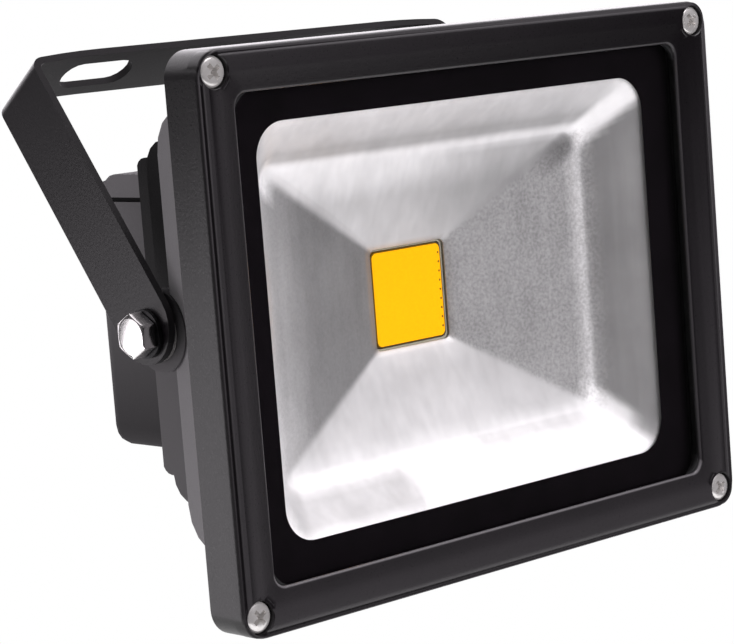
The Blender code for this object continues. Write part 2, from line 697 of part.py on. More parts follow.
def tier_outline(front, front_height, back, back_height, radius):
    """Side outline of one tier of the cast body, whose rear corners are rounded."""
    top = [(front, front_height / 2)]
    top += arc((back - radius, back_height / 2 - radius), radius, 90, 0, 4)
    return top + [(depth, -height) for depth, height in reversed(top)]


def across(outline, half_front, half_back, depth_back, front):
    """Extrude a side outline across the lamp, narrowing evenly from front to back."""
    bm = flat_outline("tier", [outline], 2.0)
    for vert in bm.verts:
        depth, height, side = vert.co
        share = (depth - front) / (depth_back - front)
        half = half_front + (half_back - half_front) * share
        vert.co = Vector((half if side > 0 else -half, depth, height))
    return bm


def tier_solids():
    """The stepped body as three overlapping solids, deepest last."""
    front = FLANGE_BACK - 1
    inside = FLOOR_FRONT + 1
    half_b = TIER_B_WIDTH / 2
    half_c = TIER_C_WIDTH / 2
    outline_a = tier_outline(front, SHOULDER_HEIGHT, TIER_A_DEPTH, TIER_A_HEIGHT, TIER_A_ROUND)
    outline_b = tier_outline(inside, TIER_B_HEIGHT, TIER_B_DEPTH, TIER_B_HEIGHT, TIER_B_ROUND)
    outline_c = tier_outline(inside + 0.4, TIER_C_HEIGHT, TIER_C_DEPTH, TIER_C_HEIGHT, TIER_C_ROUND)
    body = across(outline_a, SHOULDER_WIDTH / 2, TIER_A_WIDTH / 2, TIER_A_DEPTH, front)
    middle = across(outline_b, half_b, half_b, TIER_B_DEPTH, inside)
    rear = across(outline_c, half_c, half_c, TIER_C_DEPTH, inside)
    return body, middle, rear


def fin_gaps():
    """Pairs of x limits of the air gaps between the fins."""
    pitch = (TIER_C_WIDTH - FIN_THICKNESS) / (FIN_COUNT - 1)
    first = -TIER_C_WIDTH / 2 + FIN_THICKNESS
    gaps = [(first + i * pitch, first + (i + 1) * pitch - FIN_THICKNESS) for i in range(FIN_COUNT - 1)]
    outer_c = TIER_C_WIDTH / 2
    inner_b = TIER_B_WIDTH / 2 - FIN_THICKNESS
    outer_b = TIER_B_WIDTH / 2
    inner_a = TIER_A_WIDTH / 2 - FIN_THICKNESS
    for near, far in ((outer_c, inner_b), (outer_b, inner_a)):
        gaps += [(near, far), (-far, -near)]
    return gaps


def make_housing(mats):
    body, middle, rear = tier_solids()
    housing = piece("rear_housing", body)
    join(housing, "tier_b", middle)
    join(housing, "tier_c", rear)
    gaps = bmesh.new()
    for low, high in fin_gaps():
        merge(gaps, block((low, high), (FLOOR_BACK, COVER_BACK), (-TIER_A_HEIGHT, TIER_A_HEIGHT)))
    cut(housing, "fin_gaps", gaps)
    neck = (COVER_WIDTH / 2 - NECK_INSET, COVER_HEIGHT / 2 - NECK_INSET)
    reach = TIER_C_WIDTH / 2 - FIN_THICKNESS / 2
    join(housing, "neck", centred(reach, neck[1], (FLOOR_BACK - 1, NECK_BACK + 1)))
    half = (BEZEL_WIDTH / 2 - BEZEL_SKIRT - GAP, BEZEL_HEIGHT / 2 - BEZEL_SKIRT - GAP)
    join(housing, "flange", centred(*half, (FLANGE_FRONT, FLANGE_BACK), POCKET_CORNER - GAP))
    rim = (GLASS_WIDTH / 2 + SEAL_WEB + 0.2, GLASS_HEIGHT / 2 + SEAL_WEB + 0.2)
    join(housing, "rim", centred(*rim, (HOUSING_FRONT, FLANGE_FRONT + 1), GLASS_CORNER + 1.6))
    bosses = bmesh.new()
    for sx, sz in CORNERS:
        merge(bosses, rod((sx * SCREW_X, FLANGE_BACK - 1, sz * SCREW_Z), 1 + CORNER_BOSS_DEPTH,
                          CORNER_BOSS_RADIUS, "+Y", 16))
    join(housing, "corner_bosses", bosses)
    pivots = bmesh.new()
    for side, axis in ((-1, "-X"), (1, "+X")):
        start = side * (neck[0] - 1.5)
        merge(pivots, rod((start, PIVOT_DEPTH, 0), BOSS_FACE - abs(start), PIVOT_BOSS_RADIUS, axis, 32))
    join(housing, "pivot_bosses", pivots)
    cut_housing(housing, neck)
    finish(housing, mats["cast_black"], HEAD)


def cut_housing(housing, neck):
    wall = CHAMBER_WALL
    front = (MOUTH_WIDTH / 2 + SHEET_THICKNESS + 0.8, MOUTH_HEIGHT / 2 + SHEET_THICKNESS + 0.8)
    back = (TIER_A_WIDTH / 2 - wall, TIER_A_HEIGHT / 2 - TIER_A_ROUND * 0.25 - wall)
    cut(housing, "lamp_chamber", taper(front, back, (HOUSING_FRONT - 1, FLOOR_FRONT), CHAMBER_CORNER))
    inner = (neck[0] - NECK_WALL, neck[1] - NECK_WALL)
    cut(housing, "driver_compartment", centred(*inner, (FLOOR_BACK, NECK_BACK + 3), 3.0, 3))
    posts = bmesh.new()
    for sx, sz in CORNERS:
        merge(posts, rod((sx * POST_X, FLOOR_BACK - 1, sz * POST_Z), NECK_BACK + 2 - FLOOR_BACK,
                         POST_RADIUS, "+Y", 16))
    join(housing, "cover_bosses", posts)
    cut(housing, "cover_seat", centred(TIER_B_WIDTH / 2, TIER_C_HEIGHT, (NECK_BACK, COVER_BACK)))
    holes = bmesh.new()
    spacing = LED_SCREW_SPACING / 2
    for sx, sz in CORNERS:
        merge(holes, rod((sx * SCREW_X, HOUSING_FRONT - 1, sz * SCREW_Z),
                         FLANGE_BACK + CORNER_BOSS_DEPTH + 3 - HOUSING_FRONT, M4_RADIUS + GAP, "+Y", 16))
        merge(holes, rod((sx * POST_X, NECK_BACK + 1, sz * POST_Z), 1 + COVER_HOLE_DEPTH,
                         COVER_SCREW_RADIUS + GAP, "-Y", 16))
        merge(holes, rod((sx * spacing, FLOOR_FRONT - 1, sz * spacing), 1 + LED_HOLE_DEPTH,
                         M3_RADIUS + GAP, "+Y", 16))
    for side, axis in ((-1, "+X"), (1, "-X")):
        merge(holes, rod((side * (BOSS_FACE + 1), PIVOT_DEPTH, 0), 1 + PIVOT_HOLE_DEPTH,
                         BOLT_RADIUS + GAP, axis, 24))
    merge(holes, rod((0, FLOOR_FRONT - 1, -LEAD_HOLE_DROP), FLOOR_THICKNESS + 2, LEAD_HOLE_RADIUS, "+Y", 16))
    cut(housing, "housing_holes", holes)


def make_cover(mats):
    half = (COVER_WIDTH / 2, COVER_HEIGHT / 2)
    bm = centred(*half, (COVER_FRONT, COVER_BACK), COVER_CORNER, 4)
    for depth, offset, steps in ((COVER_BACK, COVER_REAR_ROUND, 4), (COVER_FRONT, COVER_FRONT_ROUND, 2)):
        rim = [edge for edge in bm.edges if all(abs(v.co.y - depth) < TINY for v in edge.verts)]
        bmesh.ops.bevel(bm, geom=rim, offset=min(offset, COVER_CORNER - 0.2), segments=steps,
                        profile=0.5, affect="EDGES")
    cover = piece("rear_cover", bm)
    wall = COVER_WALL
    inner = (half[0] - wall, half[1] - wall)
    cut(cover, "cover_hollow", centred(*inner, (COVER_FRONT - 2, COVER_BACK - wall), COVER_CORNER - wall, 3))
    posts = bmesh.new()
    holes = bmesh.new()
    sinks = bmesh.new()
    sink = COVER_SCREW_HEAD_HEIGHT + 0.5
    for sx, sz in CORNERS:
        merge(posts, rod((sx * POST_X, COVER_FRONT, sz * POST_Z), COVER_BACK - 1 - COVER_FRONT,
                         POST_RADIUS, "+Y", 16))
        merge(holes, rod((sx * POST_X, COVER_FRONT - 1, sz * POST_Z), COVER_BACK + 2 - COVER_FRONT,
                         COVER_SCREW_RADIUS + GAP, "+Y", 16))
        merge(sinks, rod((sx * POST_X, COVER_BACK + 1, sz * POST_Z), 1 + sink,
                         COVER_SCREW_HEAD_RADIUS + 0.4, "-Y", 20))
    join(cover, "cover_posts", posts)
    entry = rod((0, GLAND_DEPTH, -half[1] - 1), wall + 2, GLAND_THREAD_RADIUS + GAP, "+Z", 24)
    cut(cover, "cover_holes", holes)
    cut(cover, "cover_screw_pockets", sinks)
    cut(cover, "gland_hole", entry)
    finish(cover, mats["cast_black"], HEAD)
    for number, (sx, sz) in enumerate(CORNERS, 1):
        top = COVER_BACK - sink + COVER_SCREW_HEAD_HEIGHT + 0.2
        screw = pan_screw(f"cover_screw_{number}", (sx * POST_X, top, sz * POST_Z), "-Y",
                          (COVER_SCREW_HEAD_RADIUS, COVER_SCREW_HEAD_HEIGHT),
                          (COVER_SCREW_RADIUS, COVER_SCREW_LENGTH))
        finish(screw, mats["zinc"], HEAD)


def make_cover_gasket(mats):
    outer = (COVER_WIDTH / 2 - NECK_INSET - 0.2, COVER_HEIGHT / 2 - NECK_INSET - 0.2)
    depth = (GASKET_FRONT, GASKET_FRONT + GASKET_THICKNESS)
    gasket = piece("cover_gasket", centred(*outer, depth, 4.3, 3))
    inner = (outer[0] - NECK_WALL - 0.8, outer[1] - NECK_WALL - 0.8)
    cut(gasket, "gasket_opening", centred(*inner, (depth[0] - 1, depth[1] + 1), 2.0, 3))
    holes = bmesh.new()
    for sx, sz in CORNERS:
        merge(holes, rod((sx * POST_X, depth[0] - 1, sz * POST_Z), GASKET_THICKNESS + 2,
                         COVER_SCREW_RADIUS + 0.5, "+Y", 16))
    cut(gasket, "gasket_holes", holes)
    finish(gasket, mats["rubber"], HEAD)


def make_driver(mats):
    """The driver board on four spacers, with its larger components."""
    half = (BOARD_WIDTH / 2, BOARD_HEIGHT / 2)
    board = piece("driver_board", centred(*half, (BOARD_FRONT, BOARD_BACK)))
    holes = bmesh.new()
    for number, (sx, sz) in enumerate(CORNERS, 1):
        x = sx * (half[0] - SPACER_INSET)
        z = sz * (half[1] - SPACER_INSET)
        merge(holes, rod((x, BOARD_FRONT - 1, z), BOARD_THICKNESS + 2, M3_RADIUS + GAP, "+Y", 16))
        spacer = ring((x, FLOOR_BACK + GAP, z), SPACER_LENGTH, SPACER_RADIUS, M3_RADIUS + GAP, "+Y", 16)
        finish(piece(f"board_spacer_{number}", spacer), mats["brass"], HEAD)
        top = (x, BOARD_BACK + GAP + M3_HEAD_HEIGHT, z)
        screw = pan_screw(f"board_screw_{number}", top, "-Y", (M3_HEAD_RADIUS, M3_HEAD_HEIGHT),
                          (M3_RADIUS, BOARD_THICKNESS + SPACER_LENGTH))
        finish(screw, mats["zinc"], HEAD)
    cut(board, "board_holes", holes)
    finish(board, mats["board_green"], HEAD)
    seat = BOARD_BACK + GAP
    width, deep, tall = TRANSFORMER_SIZE
    core = block((-width / 2, width / 2), (seat, seat + deep), (-tall / 2, tall / 2), 1.5, "Z", 2)
    finish(piece("driver_transformer", core), mats["tape_yellow"], HEAD)
    for number, side in enumerate((1, -1), 1):
        can = rod((half[0] - CAPACITOR_INSET, seat, side * CAPACITOR_RISE), CAPACITOR_LENGTH,
                  CAPACITOR_RADIUS, "+Y", 20)
        finish(piece(f"driver_capacitor_{number}", can), mats["sleeve_black"], HEAD)
    bm = bmesh.new()
    bmesh.ops.create_circle(bm, segments=8, radius=CHOKE_WIRE_RADIUS)
    bmesh.ops.transform(bm, verts=bm.verts, matrix=Matrix.Translation((CHOKE_RADIUS, 0, 0))
                        @ Matrix.Rotation(math.pi / 2, 4, "X"))
    bmesh.ops.spin(bm, geom=bm.verts[:] + bm.edges[:], cent=(0, 0, 0), axis=(0, 0, 1),
                   angle=2 * math.pi, steps=20, use_merge=True, use_duplicate=False)
    bmesh.ops.remove_doubles(bm, verts=bm.verts, dist=0.0005)
    place = (CHOKE_INSET - half[0], seat + CHOKE_WIRE_RADIUS, CHOKE_RISE)
    bmesh.ops.transform(bm, matrix=Matrix.Translation(place) @ turn_to("+Y"), verts=bm.verts)
    finish(piece("driver_choke", bm), mats["copper"], HEAD)
    wide, deep, tall = TERMINAL_SIZE
    left = TERMINAL_INSET - half[0]
    low = TERMINAL_LIFT - half[1]
    terminal = block((left, left + wide), (seat, seat + deep), (low, low + tall))
    finish(piece("terminal_block", terminal), mats["white"], HEAD)
    thick, deep, wide = RECTIFIER_SIZE
    left = TRANSFORMER_SIZE[0] / 2 + RECTIFIER_GAP
    bridge = block((left, left + thick), (seat, seat + deep), (-wide / 2, wide / 2))
    finish(piece("driver_rectifier", bridge), mats["sleeve_black"], HEAD)


def smooth_points(knots, per_span):
    """Catmull-Rom points through the knots."""
    points = []
    extended = [knots[0]] + list(knots) + [knots[-1]]
    for i in range(len(knots) - 1):
        p0, p1, p2, p3 = (Vector(p) for p in extended[i:i + 4])
        for step in range(per_span):
            t = step / per_span
            points.append(0.5 * ((2 * p1) + (p2 - p0) * t + (2 * p0 - 5 * p1 + 4 * p2 - p3) * t * t
                                 + (3 * p1 - p0 - 3 * p2 + p3) * t * t * t))
    points.append(Vector(knots[-1]))
    return points


def make_leads(mats):
    """Two leads from the board, through the floor, to the LED's tabs."""
    start = EMITTER_BACK - TAB_THICKNESS - GAP - LEAD_RADIUS
    seat = BOARD_BACK + GAP
    thick = 2 * LEAD_RADIUS
    hole = -LEAD_HOLE_DROP
    past = -BOARD_HEIGHT / 2 - LEAD_CLEARANCE
    tab_end = -TAB_DROP - TAB_LENGTH
    for name, side in (("red", -1), ("black", 1)):
        x = side * TAB_OFFSET
        near = side * LEAD_SPREAD
        knots = (
            (x, start, tab_end + 1.7 * thick), (x, start, tab_end + 0.2 * thick),
            (x * 0.8, start + 0.2 * thick, tab_end - 1.7 * thick),
            (near, start + 1.6 * thick, hole + 0.55 * thick), (near, FLOOR_FRONT + 0.6 * thick, hole),
            (near, FLOOR_BACK, hole), (near * 1.4, BOARD_FRONT, past - 0.25 * thick),
            (near * 2.2, seat + 1.25 * thick, past + 0.2 * thick),
            (near * 3.0, seat + 3.75 * thick, past + 1.25 * thick),
        )
        curve = bpy.data.curves.new(f"lead_{name}", "CURVE")
        curve.dimensions = "3D"
        curve.bevel_depth = LEAD_RADIUS
        curve.bevel_resolution = 1
        curve.use_fill_caps = True
        points = smooth_points(knots, 3)
        spline = curve.splines.new("POLY")
        spline.points.add(len(points) - 1)
        for target, point in zip(spline.points, points):
            target.co = (*point, 1)
        obj = add_object(f"wire_{name}", curve, CUTTERS)
        graph = bpy.context.evaluated_depsgraph_get()
        mesh = bpy.data.meshes.new_from_object(obj.evaluated_get(graph))
        bm = bmesh.new()
        bm.from_mesh(mesh)
        bmesh.ops.remove_doubles(bm, verts=bm.verts, dist=0.0005)
        bpy.data.objects.remove(obj)
        bpy.data.curves.remove(curve)
        bpy.data.meshes.remove(mesh)
        finish(piece(f"lead_{name}", bm), mats[f"lead_{name}"], HEAD)


def make_gland(mats):
    """Cable gland under the cover: body and locknut clamp its wall, the cap squeezes the bush."""
    y = GLAND_DEPTH
    outside = -COVER_HEIGHT / 2 - GAP
    inside = -COVER_HEIGHT / 2 + COVER_WALL + GAP
    flange_end = outside - GLAND_FLANGE
    body = piece("gland_body", hexagon((0, y, outside), GLAND_FLANGE, GLAND_HEX, "-Z"))
    top = inside + LOCKNUT_THICKNESS + GLAND_THREAD_SPARE
    join(body, "gland_thread", rod((0, y, top), top - flange_end + GLAND_NOSE, GLAND_THREAD_RADIUS, "-Z"))
    cut(body, "gland_bore", rod((0, y, top + 1), top - flange_end + GLAND_NOSE + 3, GLAND_BORE_RADIUS, "-Z"))
    pocket = rod((0, y, flange_end - 1), GLAND_NOSE + 2, SEAL_BUSH_RADIUS + GAP, "-Z")
    cut(body, "gland_pocket", pocket)
    finish(body, mats["nylon_black"], HEAD)
    locknut = piece("gland_locknut", hexagon((0, y, inside), LOCKNUT_THICKNESS, LOCKNUT_HEX, "+Z"))
    cut(locknut, "locknut_bore", rod((0, y, inside - 1), LOCKNUT_THICKNESS + 2, GLAND_THREAD_RADIUS + GAP, "+Z"))
    finish(locknut, mats["nylon_black"], HEAD)
    bush_top = flange_end - 1 - GAP
    bush = ring((0, y, bush_top), SEAL_BUSH_LENGTH, SEAL_BUSH_RADIUS, GLAND_BORE_RADIUS, "-Z")
    finish(piece("gland_bush", bush), mats["rubber"], HEAD)
    cap_top = flange_end - GAP
    wide = GLAND_THREAD_RADIUS + GAP
    outer = GLAND_HEX / 2
    length = GLAND_CAP_LENGTH
    profile = (
        (wide, 0), (outer, 0), (outer, length * 0.65), (outer * 0.72, length),
        (GLAND_BORE_RADIUS + GAP, length), (GLAND_BORE_RADIUS + GAP, length - CAP_SHOULDER),
        (wide, length - CAP_SHOULDER * 4 / 3),
    )
    finish(piece("gland_cap", turned(profile, (0, y, cap_top), "-Z", 24, closed=True)), mats["nylon_black"], HEAD)


def make_materials():
    return {
        "steel_black": material("steel_black", (0.022, 0.021, 0.023), 0.5),
        "steel_dark": material("steel_dark", (0.035, 0.035, 0.037), 0.4, 1.0),
        "cast_black": material("cast_black", (0.03, 0.029, 0.031), 0.45),
        "zinc": material("zinc", (0.62, 0.61, 0.58), 0.3, 1.0),
        "glass": material("glass", (0.9, 0.93, 0.92), 0.05),
        "rubber": material("rubber", (0.02, 0.02, 0.02), 0.8),
        "satin_aluminium": material("satin_aluminium", (0.62, 0.62, 0.63), 0.4, 1.0),
        "bare_aluminium": material("bare_aluminium", (0.7, 0.7, 0.72), 0.35, 1.0),
        "pad_grey": material("pad_grey", (0.35, 0.35, 0.38), 0.8),
        "white": material("white", (0.85, 0.85, 0.83), 0.5),
        "phosphor": material("phosphor", (1.0, 0.62, 0.0), 0.5),
        "copper": material("copper", (0.72, 0.4, 0.22), 0.35, 1.0),
        "brass": material("brass", (0.75, 0.6, 0.3), 0.35, 1.0),
        "board_green": material("board_green", (0.05, 0.22, 0.08), 0.5),
        "tape_yellow": material("tape_yellow", (0.75, 0.6, 0.1), 0.6),
        "sleeve_black": material("sleeve_black", (0.03, 0.03, 0.04), 0.4),
        "lead_red": material("lead_red", (0.5, 0.02, 0.02), 0.5),
        "lead_black": material("lead_black", (0.02, 0.02, 0.02), 0.5),
        "nylon_black": material("nylon_black", (0.025, 0.025, 0.025), 0.55),
    }


def pivot_place():
    """The pivot axis, seen from the origin on the yoke plate's outer face."""
    reach = Vector((0, PLATE_SHIFT, -YOKE_REACH)) * MM
    return Matrix.Rotation(-YOKE_LEAN, 3, "X") @ reach


clear_scene()
PARTS = make_collection("outdoor_led_floodlight")
CUTTERS = make_collection("cutters")
HEAD = empty("head_pivot", pivot_place())
YOKE = empty("yoke_frame", (0, 0, 0), (-YOKE_LEAN, 0, 0))
BOLTS = {name: empty(f"bolt_axis_{name}", pivot_place()) for name, _ in SIDES}
MATERIALS = make_materials()
make_yoke(MATERIALS, YOKE)
make_flat_washers(MATERIALS, YOKE)
make_pivot_bolts(MATERIALS, BOLTS)
make_bezel(MATERIALS)
make_bezel_screws(MATERIALS)
make_glass_and_seal(MATERIALS)
make_reflector(MATERIALS)
make_led(MATERIALS)
make_housing(MATERIALS)
make_cover(MATERIALS)
make_cover_gasket(MATERIALS)
make_driver(MATERIALS)
make_leads(MATERIALS)
make_gland(MATERIALS)
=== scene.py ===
"""Looks of the outdoor LED floodlight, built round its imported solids."""

import json
import math

import bmesh
import bpy
from mathutils import Matrix, Vector


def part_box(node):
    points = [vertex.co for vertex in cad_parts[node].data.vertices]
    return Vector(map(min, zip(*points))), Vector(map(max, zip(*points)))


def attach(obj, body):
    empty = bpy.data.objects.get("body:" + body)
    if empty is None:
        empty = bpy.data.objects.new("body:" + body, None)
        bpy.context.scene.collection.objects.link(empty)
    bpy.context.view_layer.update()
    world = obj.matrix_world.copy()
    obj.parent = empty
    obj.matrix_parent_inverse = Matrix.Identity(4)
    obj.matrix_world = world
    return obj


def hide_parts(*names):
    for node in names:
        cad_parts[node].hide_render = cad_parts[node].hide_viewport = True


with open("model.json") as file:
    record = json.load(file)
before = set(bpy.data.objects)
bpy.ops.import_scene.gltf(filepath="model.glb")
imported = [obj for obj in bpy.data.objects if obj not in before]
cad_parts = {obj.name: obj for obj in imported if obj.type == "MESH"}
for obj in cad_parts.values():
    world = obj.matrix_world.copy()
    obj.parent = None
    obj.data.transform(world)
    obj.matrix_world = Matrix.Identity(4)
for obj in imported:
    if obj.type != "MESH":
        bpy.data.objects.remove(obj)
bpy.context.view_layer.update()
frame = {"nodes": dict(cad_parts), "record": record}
NODES = frame["nodes"]

MM = 0.001
LEAN = math.radians(36.6)
PIVOT_DEPTH = 47.0
PIVOT = Matrix.Rotation(-LEAN, 3, "X") @ Vector((0, 1.6, -80.0))
HEAD_ORIGIN = PIVOT - Vector((0, PIVOT_DEPTH, 0))     # centre of the bezel's front plane, in mm

# Bezel, in mm
BEZEL_HALF = (90.0, 70.0)
BEZEL_CORNER = 7.0
BEZEL_DEPTH = 12.2
OPENING_HALF = (78.0, 59.0)
OPENING_CORNER = 3.6
SCREW_PLACE = (84.6, 64.6)

# The bezel's section, from its back round the front to the opening: inset and depth in mm
BEZEL_SECTION = (
    (0.0, BEZEL_DEPTH), (0.0, 11.6), (0.0, 6.0), (0.0, 1.2), (0.06, 0.75), (0.22, 0.4), (0.5, 0.24),
    (0.78, 0.3), (0.92, 0.36), (1.0, 0.52), (1.45, 0.52), (1.55, 0.36), (1.8, 0.2), (2.2, 0.07),
    (3.0, 0.0), (5.2, 0.0), (6.0, 0.08), (6.6, 0.22), (8.6, 0.72), (10.6, 1.2), (11.3, 1.36),
    (11.65, 1.5), (11.88, 1.75), (12.0, 2.2),
)
# The parting groove: its insets, the depth it is filled to away from the left side, and the span in x over
# which it ends; on the left it carries painted shade
GROOVE_INSETS = (0.85, 1.6)
GROOVE_FILLED = 0.26
GROOVE_ENDS = (-73.0, -77.5)
# Painted light on the bezel: insets of the highlights along the top's outer edge and on the lip, and the
# heights and side past which the top, the band low down and the left side are painted lighter
OUTER_EDGE_INSETS = (0.4, 2.1)
LIP_INSETS = (11.4, 11.9)
BOTTOM_BAND = -56.0
TOP_BAND = 60.0
LEFT_BAND = -75.0

# The boss and the sunk pocket at each bezel screw: radius and height in mm
BOSS_PROFILE = ((0, 0.3), (4.75, 0.3), (4.95, 0.15), (5.0, -0.1), (5.0, -3.4), (0, -3.4))
BOSS_DEPTH = 0.62
POCKET_PROFILE = (
    (0, 3), (4.3, 3), (4.25, 0.0), (4.05, -0.25), (4.05, -3.2), (2.3, -3.2), (2.3, -14), (0, -14),
)

# Reflector, in mm
APERTURE_HALF = (68.75, 51.15)
RIM_DEPTH = 6.9
MOUTH_HALF = (70.0, 52.4)
CREASE_HALF = (57.0, 38.8)
CREASE_DEPTH = 20.0
WINDOW_HALF = 13.4
WINDOW_DEPTH = 30.0

# Finned housing, in mm from the bezel's front and middle
FINS_FRONT = 43.0
FINS_HALF_WIDTH = 62.0
PIVOT_BOSS_REACH = 10.5
FIRST_TIER = (12.5, 43.2)
FIRST_TIER_FLANK = 66.0

# Driver cover, in mm
COVER_HALF = (50.5, 36.5)
COVER_CORNER = 5.5
SEAM_WIDTH = 1.2
SEAM_DEPTH = 0.6

# Pivot bolts, in mm
BOLT_ACROSS_FLATS = 10.0
BOLT_HEAD = 4.0
BOLT_LENGTH = 23.9

# The photograph's viewpoint: angles in degrees, its place in mm from the bezel's centre, and the
# focal length and the image's centre in pixels
VIEW_AZIMUTH = 42.27903
VIEW_DOWNWARDS = 7.52936
VIEW_ROLL = -4.51631
VIEW_PLACE = (-488.33, -488.64, 84.79)
FOCAL_PIXELS = 2735.48
CENTRE_PIXEL = (366.24, 333.80)
IMAGE_SIZE = (734, 644)
SENSOR_WIDTH = 36.0

# The studio: the floor's height in metres, and the way from the camera to the backdrop
FLOOR_HEIGHT = -0.62
BACKDROP_FACING = (0.673, 0.74, 0.0)


def linear(code):
    """An sRGB hex colour as linear red, green, blue and alpha."""
    values = [int(code[i:i + 2], 16) / 255 for i in (1, 3, 5)]
    return tuple(v / 12.92 if v <= 0.04045 else ((v + 0.055) / 1.055) ** 2.4 for v in values) + (1.0,)


def set_inputs(node, inputs):
    """Set or link a node's inputs by name or number."""
    for name, value in inputs.items():
        if isinstance(value, bpy.types.NodeSocket):
            node.id_data.links.new(value, node.inputs[name])
        else:
            node.inputs[name].default_value = value


def add_node(tree, kind, inputs=None, **settings):
    """Add a node with its settings and inputs."""
    node = tree.nodes.new(kind)
    for name, value in settings.items():
        setattr(node, name, value)
    set_inputs(node, inputs or {})
    return node


def maths(tree, operation, first, second):
    """A Math node's result, from numbers or sockets."""
    return add_node(tree, "ShaderNodeMath", {0: first, 1: second}, operation=operation).outputs[0]


def attribute(tree, name):
    """A value that the mesh keeps on its points or faces."""
    return add_node(tree, "ShaderNodeAttribute", attribute_name=name).outputs["Fac"]


def object_place(tree):
    """Object coordinates, in metres."""
    return add_node(tree, "ShaderNodeTexCoord").outputs["Object"]


def new_surface(name, roughness=0.5, metallic=0.0):
    """A material with one Principled shader: returns the material, its tree and the shader."""
    mat = bpy.data.materials.new(name)
    mat.use_nodes = True
    tree = mat.node_tree
    shader = tree.nodes["Principled BSDF"]
    set_inputs(shader, {"Roughness": roughness, "Metallic": metallic})
    return mat, tree, shader


def show(tree, shader):
    """Let another shader's output be the material's surface."""
    set_inputs(tree.nodes["Material Output"], {"Surface": shader.outputs[0]})


def mix_colour(tree, factor, first, second):
    """Blend two colours, given as hex codes or sockets, by a factor socket."""
    node = add_node(tree, "ShaderNodeMix", {"Factor": factor}, data_type="RGBA")
    for socket, value in (("A", first), ("B", second)):
        target = [s for s in node.inputs if s.name == socket and s.type == "RGBA"][0]
        if isinstance(value, str):
            target.default_value = linear(value)
        else:
            tree.links.new(value, target)
    return [s for s in node.outputs if s.type == "RGBA"][0]


def noise(tree, size_mm, detail=2.0, stretch=(1, 1, 1)):
    """Noise on object coordinates whose features are about size_mm across."""
    mapping = add_node(tree, "ShaderNodeMapping", {"Vector": object_place(tree), "Scale": stretch})
    return add_node(tree, "ShaderNodeTexNoise", {
        "Vector": mapping.outputs["Vector"], "Scale": 1 / (size_mm * MM), "Detail": detail, "Roughness": 0.55,
    }).outputs["Fac"]


def between(tree, value, low, high, source=(0.3, 0.7)):
    """Map a value's source range onto another range, held at its ends."""
    return add_node(tree, "ShaderNodeMapRange", {
        "Value": value, "From Min": source[0], "From Max": source[1], "To Min": low, "To Max": high,
    }).outputs["Result"]


def mottled(tree, size_mm, colours, detail=3.0):
    """Two colours that drift into each other over patches of about size_mm."""
    return mix_colour(tree, between(tree, noise(tree, size_mm, detail), 0, 1), *colours)


def bump(tree, height, depth_mm, strength=1.0):
    """The normal of a surface that a height raises by up to depth_mm."""
    return add_node(tree, "ShaderNodeBump", {
        "Height": height, "Distance": depth_mm * MM, "Strength": strength,
    }).outputs["Normal"]


def grained(name, colours, roughness, grain_mm, depth_mm, metallic=0.0, patch_mm=12.0, stretch=(1, 1, 1)):
    """A finish with slow colour variation, uneven gloss and a fine surface grain."""
    mat, tree, shader = new_surface(name, metallic=metallic)
    grain = noise(tree, grain_mm, 2.0, stretch)
    set_inputs(shader, {
        "Base Color": mottled(tree, patch_mm, colours), "Roughness": between(tree, grain, *roughness),
        "Normal": bump(tree, grain, depth_mm),
    })
    return mat


def powder_coat(name, colours, roughness, lower=0.0, heights=(-13.0, 7.0)):
    """Baked polyester powder on metal: black, satin, with the soft pebbling of orange peel about
    0.9 mm across and a finer tooth that breaks up the highlights. One share kept on the mesh
    darkens it a little and makes it dull and rough: painted shade between the fins, on the pivot
    bosses, in the bezel's groove and on the strap's edges and inner face, and a duller finish all
    over the cover. Another share pales it: painted highlights and reflections on the bezel and on
    the housing's first tier, and a paler finish on the cover. Lower is how much painted light the
    darkened parts get at the lower of two heights in the head, in mm from its middle, fading to
    none at the upper; below zero it paints shade there instead."""
    mat, tree, shader = new_surface(name)
    peel = noise(tree, 0.9, 1.0)
    tooth = noise(tree, 0.28, 2.0)
    dull_dark_and_painted_shade = attribute(tree, "dull_dark_and_painted_shade")
    pale_and_lit = attribute(tree, "pale_and_painted_light")
    # Painted light added low down on the darkened parts; with lower below zero it is painted shade.
    if lower:
        height = add_node(tree, "ShaderNodeSeparateXYZ", {"Vector": object_place(tree)}).outputs["Z"]
        below = between(tree, height, lower, 0.0, [(HEAD_ORIGIN.z + z) * MM for z in heights])
        pale_and_lit = maths(tree, "ADD", maths(tree, "MULTIPLY", below, dull_dark_and_painted_shade), pale_and_lit)
    # Painted shade: the first share darkens the colour towards near black.
    colour = mix_colour(tree, dull_dark_and_painted_shade, mottled(tree, 26.0, colours), "#0A070A")
    dull = maths(tree, "MULTIPLY", dull_dark_and_painted_shade, 0.6)
    coarse = add_node(tree, "ShaderNodeBump", {
        "Height": peel, "Distance": 0.03 * MM, "Strength": 1.0, "Normal": bump(tree, tooth, 0.012),
    })
    set_inputs(shader, {
        # Painted light: the second share pales the colour towards light grey.
        "Base Color": mix_colour(tree, pale_and_lit, colour, "#B8B4B8"),
        "Roughness": maths(tree, "ADD", between(tree, tooth, *roughness), dull),
        "Normal": coarse.outputs["Normal"],
    })
    return mat


def bright_plating(name, colours, roughness, metallic=0.7):
    """Plated metal with faint tumbling marks 0.5 mm long, darkened by painted shade in the screws' cross
    recesses.
    """
    mat, tree, shader = new_surface(name, metallic=metallic)
    marks = noise(tree, 0.5, 2.0, (1, 1, 2.5))
    colour = mottled(tree, 3.5, colours, 2.0)
    set_inputs(shader, {
        # Painted shade in the screws' cross recesses darkens the colour.
        "Base Color": mix_colour(tree, attribute(tree, "painted_recess_shade"), colour, "#55524E"),
        "Roughness": between(tree, marks, *roughness), "Normal": bump(tree, marks, 0.003),
    })
    return mat


